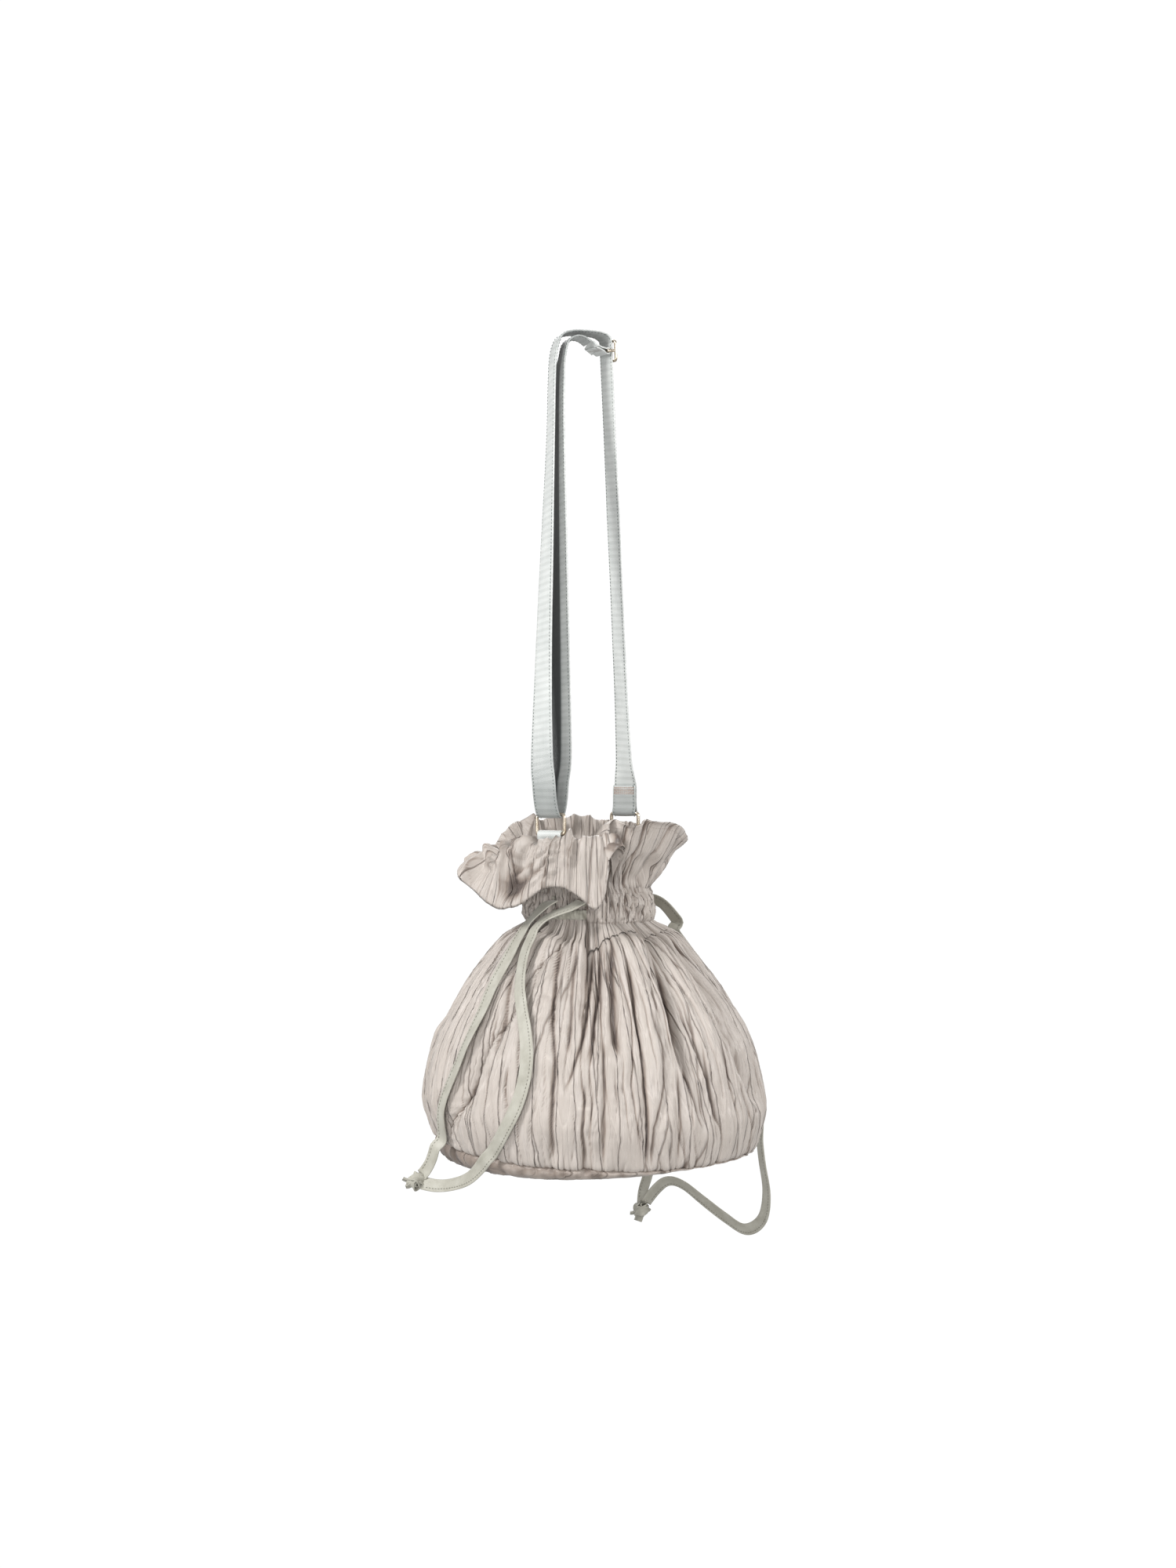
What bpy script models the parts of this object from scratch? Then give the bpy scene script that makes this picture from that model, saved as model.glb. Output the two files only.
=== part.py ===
"""Drawstring shoe bag of crinkled satin on an adjustable webbing strap.

The frame's origin is the hang point, under the top of the strap's arch. +Z is up and +X runs from
the near side seam to the far side seam, through the two rings. Units are metres.
"""
import math

import bmesh
import bpy
from mathutils import Vector

# Webbing and wire
WEB_WIDTH = 0.025
WEB_THICK = 0.0014
WIRE = 0.0017                 # radius of the rings' wire
RING_WIDTH = 0.0296           # between the centres of the two side wires
RING_HEIGHT = 0.017           # between the centres of the top and bottom bars
CORNER = 0.0022               # radius of a ring's corners at the wire's centre
GAP = 0.0003

# Where the bag hangs
RING_X = 0.065                # each ring's distance from the bag's middle plane
MOUTH_Y = -0.012
RING_TOP_Z = -0.440
RING_BOTTOM_Z = RING_TOP_Z - RING_HEIGHT
TAB_END_Z = -0.500

# Bag
CHANNEL_TOP_Z = -0.507
CHANNEL_BOTTOM_Z = -0.541
BASE_SEAM_Z = -0.7465
BASE_Z = -0.7605
BASE_Y = -0.020
CHANNEL_R = 0.0585
FABRIC = 0.0016
LINING = 0.0010
LINING_INSET = 0.0022         # from the panels' outside to the lining's outside
CASING_STANDOFF = 0.0024      # room for the tape between a panel and its casing strip
CASING_THICK = 0.0010
TAPE_THICK = 0.0015
STATIONS = 24                 # facets on each half of the bag
BODY_ROWS = 15
CHANNEL_ROWS = 4
FRILL_ROWS = 7
LINING_ROWS = BODY_ROWS + CHANNEL_ROWS - 1
EXIT_HALF = 14.0              # degrees from a side seam to where a drawcord's end comes out
CASING_END = 18.0             # degrees from a side seam to the end of a casing strip
SEAM_GAP = 0.25               # degrees left open at each side seam

# Body radius from the base seam up to the channel: (height, radius)
BODY_PROFILE = [(-0.7465, 0.1510), (-0.7410, 0.1526), (-0.7176, 0.1590), (-0.7000, 0.1600),
                (-0.6658, 0.1533), (-0.6366, 0.1442), (-0.6020, 0.1256), (-0.5730, 0.1037),
                (-0.5475, 0.0720), (-0.5410, 0.0585)]
# The side seams' turn about the bag's axis, in degrees: (height, turn)
SEAM_TURN = [(-0.7605, -28.0), (-0.7465, -28.0), (-0.6700, -13.0), (-0.5900, 0.0), (-0.5410, 12.0),
             (-0.5070, 12.0), (-0.4800, 2.0), (-0.4400, 0.0)]
# The frill's upper edge every 30 degrees from +X: (radius, height)
FRILL_RIM = [(0.088, -0.448), (0.085, -0.445), (0.086, -0.446), (0.092, -0.452), (0.106, -0.472),
             (0.110, -0.486), (0.092, -0.470), (0.083, -0.462), (0.081, -0.453), (0.087, -0.447),
             (0.094, -0.452), (0.090, -0.450)]

# Drawcords
CORD_R = 0.0025               # round stand-in for the flat folded tape
CORD_STEP = 0.011
KNOT_R = 0.0085
LEFT_KNOT = (-0.144, 0.080, -0.782)
RIGHT_KNOT = (0.165, 0.029, -0.835)
LEFT_BACK_RUN = [(-0.0620, -0.0125, -0.5177), (-0.0700, -0.0110, -0.5200), (-0.0765, -0.0030, -0.5290),
                 (-0.0800, 0.0070, -0.5420), (-0.1036, 0.0114, -0.5670), (-0.1225, 0.0166, -0.5920),
                 (-0.1370, 0.0198, -0.6170), (-0.1495, 0.0332, -0.6580), (-0.1514, 0.0495, -0.6970),
                 (-0.1474, 0.0552, -0.7190), (-0.1420, 0.0600, -0.7380), (-0.1410, 0.0650, -0.7560),
                 (-0.1410, 0.0720, -0.7700), LEFT_KNOT]
LEFT_FRONT_RUN = [(-0.0560, -0.0386, -0.5177), (-0.0665, -0.0350, -0.5225), (-0.0730, -0.0250, -0.5270),
                  (-0.0780, -0.0140, -0.5330), (-0.0840, -0.0070, -0.5420), (-0.0920, -0.0060, -0.5520),
                  (-0.1055, -0.0070, -0.5660), (-0.1244, -0.0150, -0.5890), (-0.1372, -0.0262, -0.6100),
                  (-0.1453, -0.0353, -0.6270), (-0.1517, -0.0414, -0.6440), (-0.1563, -0.0434, -0.6610),
                  (-0.1614, -0.0413, -0.6810), (-0.1654, -0.0352, -0.7000), (-0.1648, -0.0231, -0.7200),
                  (-0.1596, -0.0090, -0.7380), (-0.1550, 0.0030, -0.7520), (-0.1500, 0.0190, -0.7660),
                  (-0.1450, 0.0390, -0.7760), (-0.1430, 0.0550, -0.7810), (-0.1430, 0.0680, -0.7825),
                  LEFT_KNOT]
RIGHT_FRONT_RUN = [(0.0620, -0.0112, -0.5303), (0.0690, -0.0150, -0.5300), (0.0720, -0.0300, -0.5285),
                   (0.0720, -0.0480, -0.5300),
                   (0.0790, -0.0600, -0.5440), (0.0950, -0.0670, -0.5650), (0.1180, -0.0850, -0.6000),
                   (0.1290, -0.0990, -0.6350), (0.1360, -0.1080, -0.6700), (0.1390, -0.1150, -0.7050),
                   (0.1370, -0.1190, -0.7350), (0.1350, -0.1200, -0.7520), (0.1400, -0.1200, -0.7760),
                   (0.1510, -0.1190, -0.8080), (0.1590, -0.1100, -0.8350), (0.1660, -0.0880, -0.8470),
                   (0.1710, -0.0620, -0.8370), (0.1730, -0.0360, -0.8240), (0.1740, -0.0140, -0.8130),
                   (0.1735, 0.0030, -0.8130), (0.1710, 0.0130, -0.8230), RIGHT_KNOT]
RIGHT_BACK_RUN = [(0.0550, 0.0150, -0.5303), (0.0690, 0.0120, -0.5330), (0.0820, 0.0200, -0.5450),
                  (0.0960, 0.0240, -0.5600), (0.1250, 0.0300, -0.6000), (0.1420, 0.0320, -0.6250),
                  (0.1530, 0.0320, -0.6500), (0.1600, 0.0300, -0.6750), (0.1630, 0.0260, -0.7000),
                  (0.1630, 0.0230, -0.7250), (0.1620, 0.0200, -0.7450), (0.1670, 0.0170, -0.7750),
                  (0.1700, 0.0240, -0.8000), (0.1680, 0.0290, -0.8180), RIGHT_KNOT]

# Strap: the arch's own direction and the turn of the webbing's width about Z, in degrees
ARCH_TURN = 48.0
RUN_TURN = 58.0
ARCH_DIR = Vector((math.sin(math.radians(ARCH_TURN)), -math.cos(math.radians(ARCH_TURN)), 0))
SLIDER_POS = Vector((0.0210, -0.0181, -0.0080))
RUN_FOOT = Vector((0.0620, -0.0125, -0.3850))
RUN_DIR = (RUN_FOOT - SLIDER_POS).normalized()

# Slider
SLIDER_WIRE = 0.0014
SLIDER_LENGTH = 0.018
SLIDER_FRAME_OFF = WEB_THICK / 2 + SLIDER_WIRE + GAP
SLIDER_BAR_OFF = -(WEB_THICK * 1.5 + SLIDER_WIRE + 2 * GAP)


def clear_scene():
    for obj in list(bpy.data.objects):
        bpy.data.objects.remove(obj, do_unlink=True)


def material(name, colour, roughness, metallic=0.0):
    mat = bpy.data.materials.new(name)
    mat.use_nodes = True
    shader = mat.node_tree.nodes["Principled BSDF"]
    shader.inputs["Base Color"].default_value = (*colour, 1.0)
    shader.inputs["Roughness"].default_value = roughness
    shader.inputs["Metallic"].default_value = metallic
    return mat


def add_object(name, bm, mat, smooth=True):
    bmesh.ops.recalc_face_normals(bm, faces=bm.faces)
    if bm.calc_volume(signed=True) < 0:
        bmesh.ops.reverse_faces(bm, faces=bm.faces)
    mesh = bpy.data.meshes.new(name)
    bm.to_mesh(mesh)
    bm.free()
    mesh.materials.append(mat)
    if smooth:
        mesh.shade_smooth()
        mesh.set_sharp_from_angle(angle=math.radians(40))
    obj = bpy.data.objects.new(name, mesh)
    bpy.context.scene.collection.objects.link(obj)
    return obj


def smooth_curve(points, per_span):
    """Catmull-Rom samples through points, given as lists of numbers of any one length."""
    out = []
    last = len(points) - 1
    for i in range(last):
        a = points[max(i - 1, 0)]
        b = points[i]
        c = points[i + 1]
        d = points[min(i + 2, last)]
        for k in range(per_span):
            t = k / per_span
            out.append([0.5 * (2 * q + (r - p) * t + (2 * p - 5 * q + 4 * r - s) * t * t
                               + (3 * q - p - 3 * r + s) * t ** 3) for p, q, r, s in zip(a, b, c, d)])
    out.append(list(points[last]))
    return out


def ramp(table, at):
    """Value at a height, eased between the table's (height, value) pairs in rising height."""
    if at <= table[0][0]:
        return table[0][1]
    for (z0, v0), (z1, v1) in zip(table, table[1:]):
        if at <= z1:
            t = (at - z0) / (z1 - z0)
            return v0 + (v1 - v0) * t * t * (3 - 2 * t)
    return table[-1][1]


PROFILE_CURVE = smooth_curve(BODY_PROFILE, 12)


def body_radius(z):
    for (z0, r0), (z1, r1) in zip(PROFILE_CURVE, PROFILE_CURVE[1:]):
        if z <= z1:
            return r0 + (r1 - r0) * (z - z0) / (z1 - z0)
    return PROFILE_CURVE[-1][1]


def rim(angle):
    """The frill's upper edge (radius, height) at an angle in degrees from +X."""
    count = len(FRILL_RIM)
    place = (angle % 360.0) / 360.0 * count
    i = int(place)
    t = place - i
    ring = [FRILL_RIM[(i + k) % count] for k in (-1, 0, 1, 2)]
    return [0.5 * (2 * q + (r - p) * t + (2 * p - 5 * q + 4 * r - s) * t * t
                   + (3 * q - p - 3 * r + s) * t ** 3) for p, q, r, s in zip(*ring)]


def bag_surface(angle, v):
    """Outside of the panels. angle runs from the far seam; v is 0 to 1 on the body, 1 to 2 on the
    channel and 2 to 3 on the frill."""
    if v <= 1:
        z = BASE_SEAM_Z + (CHANNEL_BOTTOM_Z - BASE_SEAM_Z) * v
        radius = body_radius(z)
    elif v <= 2:
        z = CHANNEL_BOTTOM_Z + (CHANNEL_TOP_Z - CHANNEL_BOTTOM_Z) * (v - 1)
        radius = CHANNEL_R
    else:
        edge_r, edge_z = rim(angle)
        t = v - 2
        z = CHANNEL_TOP_Z + (edge_z - CHANNEL_TOP_Z) * t
        radius = CHANNEL_R + (edge_r - CHANNEL_R) * t ** 1.2
    phi = math.radians(angle + ramp(SEAM_TURN, z))
    down = min(1.0, max(0.0, (CHANNEL_TOP_Z - z) / (CHANNEL_TOP_Z - BASE_SEAM_Z)))
    y = MOUTH_Y + (BASE_Y - MOUTH_Y) * down
    return Vector((radius * math.cos(phi), y + radius * math.sin(phi), z))


def base_surface(angle, v):
    """Underside of the base: v is 0 at the base seam and 1 near the middle."""
    turn_in = 0.15
    if v <= turn_in:
        a = v / turn_in * math.pi / 2
        drop = BASE_SEAM_Z - 0.0005 - BASE_Z
        radius = 0.151 - 0.015 * (1 - math.cos(a))
        z = BASE_SEAM_Z - 0.0005 - drop * math.sin(a)
    else:
        inward = (v - turn_in) / (1 - turn_in)
        radius = 0.136 + (0.012 - 0.136) * inward
        z = BASE_Z
    phi = math.radians(angle + SEAM_TURN[0][1])
    return Vector((radius * math.cos(phi), BASE_Y + radius * math.sin(phi), z))


def offset_point(surface, angle, v, off, v_low, v_high):
    """A point off along the outward normal of a surface."""
    step = 0.004
    a = surface(angle + 0.5, v)
    b = surface(angle - 0.5, v)
    c = surface(angle, min(v + step, v_high))
    d = surface(angle, max(v - step, v_low))
    normal = (a - b).cross(c - d)
    if surface is base_surface:
        normal = -normal
    return surface(angle, v) + normal.normalized() * off


def layer(name, surface, angles, levels, outer, inner, mat, closed=False):
    """A sheet of fabric between two offsets from a surface, as one closed solid."""
    bm = bmesh.new()
    skins = []
    for off in (outer, inner):
        skins.append([[bm.verts.new(offset_point(surface, a, v, off, levels[0], levels[-1]))
                       for a in angles] for v in levels])
    columns = len(angles)
    spans = columns if closed else columns - 1
    for skin in skins:
        for j in range(len(levels) - 1):
            for i in range(spans):
                k = (i + 1) % columns
                bm.faces.new((skin[j][i], skin[j][k], skin[j + 1][k], skin[j + 1][i]))
    out, inn = skins
    for row in (0, len(levels) - 1):
        for i in range(spans):
            k = (i + 1) % columns
            bm.faces.new((out[row][i], out[row][k], inn[row][k], inn[row][i]))
    if not closed:
        for column in (0, columns - 1):
            for j in range(len(levels) - 1):
                bm.faces.new((out[j][column], out[j + 1][column], inn[j + 1][column], inn[j][column]))
    return add_object(name, bm, mat)


def dish(name, angles, levels, outer, inner, mat):
    """The base's round sheet: like a layer, with its middle closed."""
    bm = bmesh.new()
    columns = len(angles)
    skins = []
    for off in (outer, inner):
        skins.append([[bm.verts.new(offset_point(base_surface, a, v, off, 0, 1)) for a in angles]
                      for v in levels])
        for vert in skins[-1][0]:
            vert.co.z = BASE_SEAM_Z - 0.0005
        for j in range(len(levels) - 1):
            for i in range(columns):
                k = (i + 1) % columns
                bm.faces.new((skins[-1][j][i], skins[-1][j][k], skins[-1][j + 1][k], skins[-1][j + 1][i]))
        bm.faces.new(skins[-1][-1])
    for i in range(columns):
        k = (i + 1) % columns
        bm.faces.new((skins[0][0][i], skins[0][0][k], skins[1][0][k], skins[1][0][i]))
    return add_object(name, bm, mat)


def spread(start, end, count):
    return [start + (end - start) * i / (count - 1) for i in range(count)]


def ribbon(name, stations, mat, axis=None):
    """Webbing along stations of (x, y, z, turn of the width about Z in degrees), or across an axis."""
    bm = bmesh.new()
    rings = []
    for i, (x, y, z, turn) in enumerate(stations):
        before = Vector(stations[max(i - 1, 0)][:3])
        after = Vector(stations[min(i + 1, len(stations) - 1)][:3])
        along = (after - before).normalized()
        across = axis or Vector((math.cos(math.radians(turn)), math.sin(math.radians(turn)), 0))
        across = (across - along * across.dot(along)).normalized()
        face = across.cross(along)
        centre = Vector((x, y, z))
        rings.append([bm.verts.new(centre + across * a * WEB_WIDTH / 2 + face * b * WEB_THICK / 2)
                      for a, b in ((-1, -1), (1, -1), (1, 1), (-1, 1))])
    for low, high in zip(rings, rings[1:]):
        for i in range(4):
            k = (i + 1) % 4
            bm.faces.new((low[i], low[k], high[k], high[i]))
    bm.faces.new(rings[0])
    bm.faces.new(rings[-1])
    return add_object(name, bm, mat)


def tube(name, points, radius, mat, cyclic=False):
    data = bpy.data.curves.new(name, "CURVE")
    data.dimensions = "3D"
    data.bevel_depth = radius
    data.bevel_resolution = 2
    data.use_fill_caps = True
    spline = data.splines.new("POLY")
    spline.points.add(len(points) - 1)
    for place, point in zip(spline.points, points):
        place.co = (*point, 1.0)
    spline.use_cyclic_u = cyclic
    data.materials.append(mat)
    obj = bpy.data.objects.new(name, data)
    bpy.context.scene.collection.objects.link(obj)
    return obj


def rounded_rectangle(width, height, radius, steps=4):
    """Corner arcs of a rectangle about its centre, as (across, up) pairs."""
    out = []
    for quarter, (sx, sy) in enumerate(((1, 1), (-1, 1), (-1, -1), (1, -1))):
        for k in range(steps + 1):
            a = math.radians(90 * quarter + 90 * k / steps)
            out.append((sx * (width / 2 - radius) + radius * math.cos(a),
                        sy * (height / 2 - radius) + radius * math.sin(a)))
    return out


def cord_run(name, route, knot, mat):
    """A hanging run of tape from its exit to the face of its knot, on one smooth curve."""
    dense = [Vector(p) for p in smooth_curve(route, 20)]
    stop = KNOT_R + GAP + 0.0006
    points = [dense[0]]
    for point, following in zip(dense[1:], dense[2:]):
        if (following - Vector(knot)).length < stop:
            points.append(point)
            break
        if (point - points[-1]).length >= CORD_STEP:
            points.append(point)
    if (points[-1] - points[-2]).length < CORD_STEP / 2:
        points.pop(-2)
    return tube(name, points, CORD_R, mat)


def knot(name, centre, mat):
    bm = bmesh.new()
    bmesh.ops.create_uvsphere(bm, u_segments=14, v_segments=9, radius=KNOT_R)
    obj = add_object(name, bm, mat)
    obj.location = centre
    return obj


def channel_tape(name, seam, v_low, v_high, mat):
    """A drawcord's hidden stretch, once round the channel from one exit to the other."""
    angles = spread(seam + EXIT_HALF, seam + 360 - EXIT_HALF, 2 * STATIONS + 1)
    return layer(name, bag_surface, angles, spread(v_low, v_high, 2), GAP + TAPE_THICK, GAP, mat)


def wire_ring(name, x, mat):
    points = [Vector((x, MOUTH_Y + a, RING_TOP_Z - RING_HEIGHT / 2 + b))
              for a, b in rounded_rectangle(RING_WIDTH, RING_HEIGHT, CORNER)]
    return tube(name, points, WIRE, mat, cyclic=True)


def tab(name, side, mat):
    """Webbing over a ring's bottom bar, with both legs sewn inside the mouth."""
    x = side * RING_X
    bend = WIRE + GAP + WEB_THICK / 2
    legs = 0.0011
    foot_x = side * 0.0535
    route = [(foot_x - legs, TAB_END_Z), (foot_x - legs + side * 0.004, -0.485), (x - legs, -0.466),
             (x - bend, RING_BOTTOM_Z - 0.001)]
    for k in range(1, 6):
        a = math.pi - math.pi * k / 6
        route.append((x + bend * math.cos(a), RING_BOTTOM_Z + bend * math.sin(a)))
    route += [(x + bend, RING_BOTTOM_Z - 0.001), (x + legs, -0.466), (foot_x + legs + side * 0.004, -0.485),
              (foot_x + legs, TAB_END_Z)]
    stations = smooth_curve([(a, MOUTH_Y, b, 90.0) for a, b in route], 2)
    return ribbon(name, stations, mat)


def stitch_patch(name, centre, across, along, size, mat):
    """A sewn row standing a little proud of the webbing."""
    across = Vector(across).normalized()
    along = Vector(along).normalized()
    face = across.cross(along)
    bm = bmesh.new()
    corners = [bm.verts.new(Vector(centre) + across * a * size[0] / 2 + along * b * size[1] / 2
                            + face * c * size[2] / 2)
               for a in (-1, 1) for b in (-1, 1) for c in (-1, 1)]
    bmesh.ops.convex_hull(bm, input=corners)
    return add_object(name, bm, mat, smooth=False)


def strap_route():
    """Centre line of the whole strap from its sewn end at the far ring to the slider."""
    x = RING_X
    bend = WIRE + GAP + WEB_THICK / 2
    legs = 0.0011
    route = [(x - legs, MOUTH_Y, -0.413, 88.0), (x - legs, MOUTH_Y, -0.424, 89.0),
             (x - legs, MOUTH_Y, -0.433, 90.0), (x - bend, MOUTH_Y, RING_TOP_Z + 0.001, 90.0)]
    for k in range(1, 6):
        a = math.pi + math.pi * k / 6
        route.append((x + bend * math.cos(a), MOUTH_Y, RING_TOP_Z + bend * math.sin(a), 90.0))
    route += [(x + bend, MOUTH_Y, RING_TOP_Z + 0.001, 90.0), (x + legs, MOUTH_Y, -0.433, 90.0),
              (x + legs, MOUTH_Y, -0.424, 89.0), (x + legs, MOUTH_Y, -0.413, 88.0),
              (0.0640, -0.0122, -0.400, 75.0)]
    length = (RUN_FOOT - SLIDER_POS).length
    for k in range(8):
        point = RUN_FOOT - RUN_DIR * length * k / 7
        route.append((*point, RUN_TURN))
    top = SLIDER_POS - RUN_DIR * 0.010
    route.append((*top, RUN_TURN))
    for across, z, turn in ((0.0252, 0.0060, 57.0), (0.0205, 0.0090, 55.0), (0.0140, 0.0102, 52.0),
                            (0.0040, 0.0105, ARCH_TURN), (-0.0080, 0.0098, ARCH_TURN),
                            (-0.0180, 0.0050, ARCH_TURN), (-0.0232, -0.0110, ARCH_TURN)):
        point = ARCH_DIR * across
        route.append((point.x, point.y, z, turn))
    pairs = ((0.0, 48.0, 0.0052), (0.14, 49.0, 0.0056), (0.39, 58.0, 0.0079), (0.644, 67.0, 0.0105),
             (0.861, 84.0, 0.0140))
    middle = Vector((-0.0146, 0.0132, 0))
    foot = Vector((-RING_X, MOUTH_Y, 0))
    down = []
    up = []
    for s, turn, half in pairs:
        centre = middle.lerp(foot, s)
        z = -0.035 - 0.4035 * s
        face = Vector((math.sin(math.radians(turn)), -math.cos(math.radians(turn)), 0))
        outer = centre - face * half
        inner = centre + face * half
        down.append((outer.x, outer.y, z, turn))
        up.insert(0, (inner.x, inner.y, z, turn))
    loop = ((-0.0115, -0.4100), (-0.0095, -0.4250), (-0.0065, -0.4360), (-0.0030, -0.4418), (0.0, -0.4427),
            (0.0030, -0.4418), (0.0065, -0.4360), (0.0095, -0.4250), (0.0115, -0.4100))
    turn_round = [(-RING_X + a, MOUTH_Y, z, 90.0) for a, z in loop]
    route += down + turn_round + up
    for across, z in ((-0.0135, -0.0180), (-0.0100, -0.0050), (-0.0040, -0.0004), (0.0010, 0.0007),
                      (0.0055, -0.0002), (0.0095, -0.0022)):
        point = ARCH_DIR * across
        route.append((point.x, point.y, z, ARCH_TURN))
    return route


def slider_axes():
    """Across, along and face directions of the slider; face points to the strap's outer side."""
    across = Vector((math.cos(math.radians(RUN_TURN)), math.sin(math.radians(RUN_TURN)), 0))
    across = (across - RUN_DIR * across.dot(RUN_DIR)).normalized()
    face = across.cross(RUN_DIR)
    if face.dot(ARCH_DIR) < 0:
        face = -face
    return across, RUN_DIR, face


def build_slider(metal, webbing, thread):
    across, along, face = slider_axes()
    frame = [SLIDER_POS + across * a + along * b + face * SLIDER_FRAME_OFF
             for a, b in rounded_rectangle(RING_WIDTH, SLIDER_LENGTH, CORNER)]
    tube("slider_frame", frame, SLIDER_WIRE, metal, cyclic=True)
    half = RING_WIDTH / 2
    high = SLIDER_FRAME_OFF - SLIDER_WIRE - GAP
    corner = 0.0015
    bar = [SLIDER_POS + across * a + face * b
           for a, b in ((-half, high), (-half, SLIDER_BAR_OFF + corner), (-half + corner, SLIDER_BAR_OFF),
                        (half - corner, SLIDER_BAR_OFF), (half, SLIDER_BAR_OFF + corner), (half, high))]
    tube("slider_bar", bar, SLIDER_WIRE, metal)
    bend = SLIDER_WIRE + GAP + WEB_THICK / 2
    centre = SLIDER_POS + face * SLIDER_BAR_OFF
    back = (-face * 0.93 - along * 0.37).normalized()
    side = across.cross(back).normalized()
    stations = []
    leg_end = 0.0090
    legs = 0.0011
    for out, sign in ((leg_end, -1), (0.0055, -1)):
        stations.append((*(centre + back * out + side * sign * legs), RUN_TURN))
    for k in range(7):
        a = -math.pi / 2 + math.pi * k / 6
        stations.append((*(centre - back * bend * math.cos(a) + side * bend * math.sin(a)), RUN_TURN))
    for out, sign in ((0.0055, 1), (leg_end, 1)):
        stations.append((*(centre + back * out + side * sign * legs), RUN_TURN))
    ribbon("strap_slider_end", stations, webbing, axis=across)
    upper = side if side.z > 0 else -side
    place = centre + back * 0.0072 - upper * (legs + WEB_THICK / 2 + GAP + 0.0004)
    stitch_patch("slider_end_stitching", place, across, back, (0.020, 0.003, 0.0005), thread)


def build():
    clear_scene()
    satin = material("crinkled_satin", (0.58, 0.51, 0.46), 0.38)
    lining = material("lining_cloth", (0.55, 0.49, 0.44), 0.55)
    tape = material("drawcord_tape", (0.50, 0.49, 0.42), 0.60)
    webbing = material("strap_webbing", (0.52, 0.57, 0.56), 0.45)
    metal = material("pale_nickel", (0.80, 0.75, 0.66), 0.22, 1.0)
    thread = material("thread", (0.62, 0.52, 0.46), 0.60)

    body_levels = spread(0, 1, BODY_ROWS) + spread(1, 2, CHANNEL_ROWS)[1:] + spread(2, 3, FRILL_ROWS)[1:]
    halves = {"front_panel": 180.0, "back_panel": 0.0}
    for name, start in halves.items():
        angles = spread(start + SEAM_GAP, start + 180 - SEAM_GAP, STATIONS + 1)
        layer(name, bag_surface, angles, body_levels, 0.0, -FABRIC, satin)
    for name, start in (("front_casing", 180.0), ("back_casing", 0.0)):
        angles = spread(start + CASING_END, start + 180 - CASING_END, STATIONS - 3)
        layer(name, bag_surface, angles, spread(1.06, 1.94, 3), CASING_STANDOFF + CASING_THICK,
              CASING_STANDOFF, satin)
    all_round = [360.0 * i / (2 * STATIONS) for i in range(2 * STATIONS)]
    layer("body_lining", bag_surface, all_round, body_levels[:LINING_ROWS], -LINING_INSET,
          -LINING_INSET - LINING, lining, closed=True)
    base_levels = [0, 0.05, 0.1, 0.15, 0.55, 1]
    dish("base_panel", all_round, base_levels, 0.0, -FABRIC, satin)
    dish("base_lining", all_round, base_levels, -LINING_INSET, -LINING_INSET - LINING, lining)

    channel_tape("left_drawcord_in_channel", 180.0, 1.54, 1.86, tape)
    channel_tape("right_drawcord_in_channel", 0.0, 1.14, 1.46, tape)
    cord_run("left_drawcord_back_run", LEFT_BACK_RUN, LEFT_KNOT, tape)
    cord_run("left_drawcord_front_run", LEFT_FRONT_RUN, LEFT_KNOT, tape)
    knot("left_drawcord_knot", LEFT_KNOT, tape)
    cord_run("right_drawcord_front_run", RIGHT_FRONT_RUN, RIGHT_KNOT, tape)
    cord_run("right_drawcord_back_run", RIGHT_BACK_RUN, RIGHT_KNOT, tape)
    knot("right_drawcord_knot", RIGHT_KNOT, tape)

    for name, side in (("left", -1), ("right", 1)):
        wire_ring(name + "_ring", side * RING_X, metal)
        tab(name + "_tab", side, webbing)
        inside = side * 0.0535 - side * (0.0011 + WEB_THICK / 2 + GAP + 0.0003)
        stitch_patch(name + "_tab_stitching", (inside, MOUTH_Y, TAB_END_Z + 0.004), (0, 1, 0),
                     (side * 0.27, 0, 1), (0.020, 0.003, 0.0005), thread)

    ribbon("strap_webbing", smooth_curve(strap_route(), 3), webbing)
    stitch_patch("strap_end_stitching", (RING_X - 0.0011 - WEB_THICK / 2 - GAP - 0.0003, MOUTH_Y, -0.418),
                 (0, 1, 0), (0, 0, 1), (0.021, 0.004, 0.0005), thread)
    build_slider(metal, webbing, thread)


build()
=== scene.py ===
"""Looks of the drawstring shoe bag: crinkled satin, webbing strap, tape drawcords and wire rings.

Everything is in the CAD frame: metres, +Z up, the origin under the top of the strap's arch.
"""
import math

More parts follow.
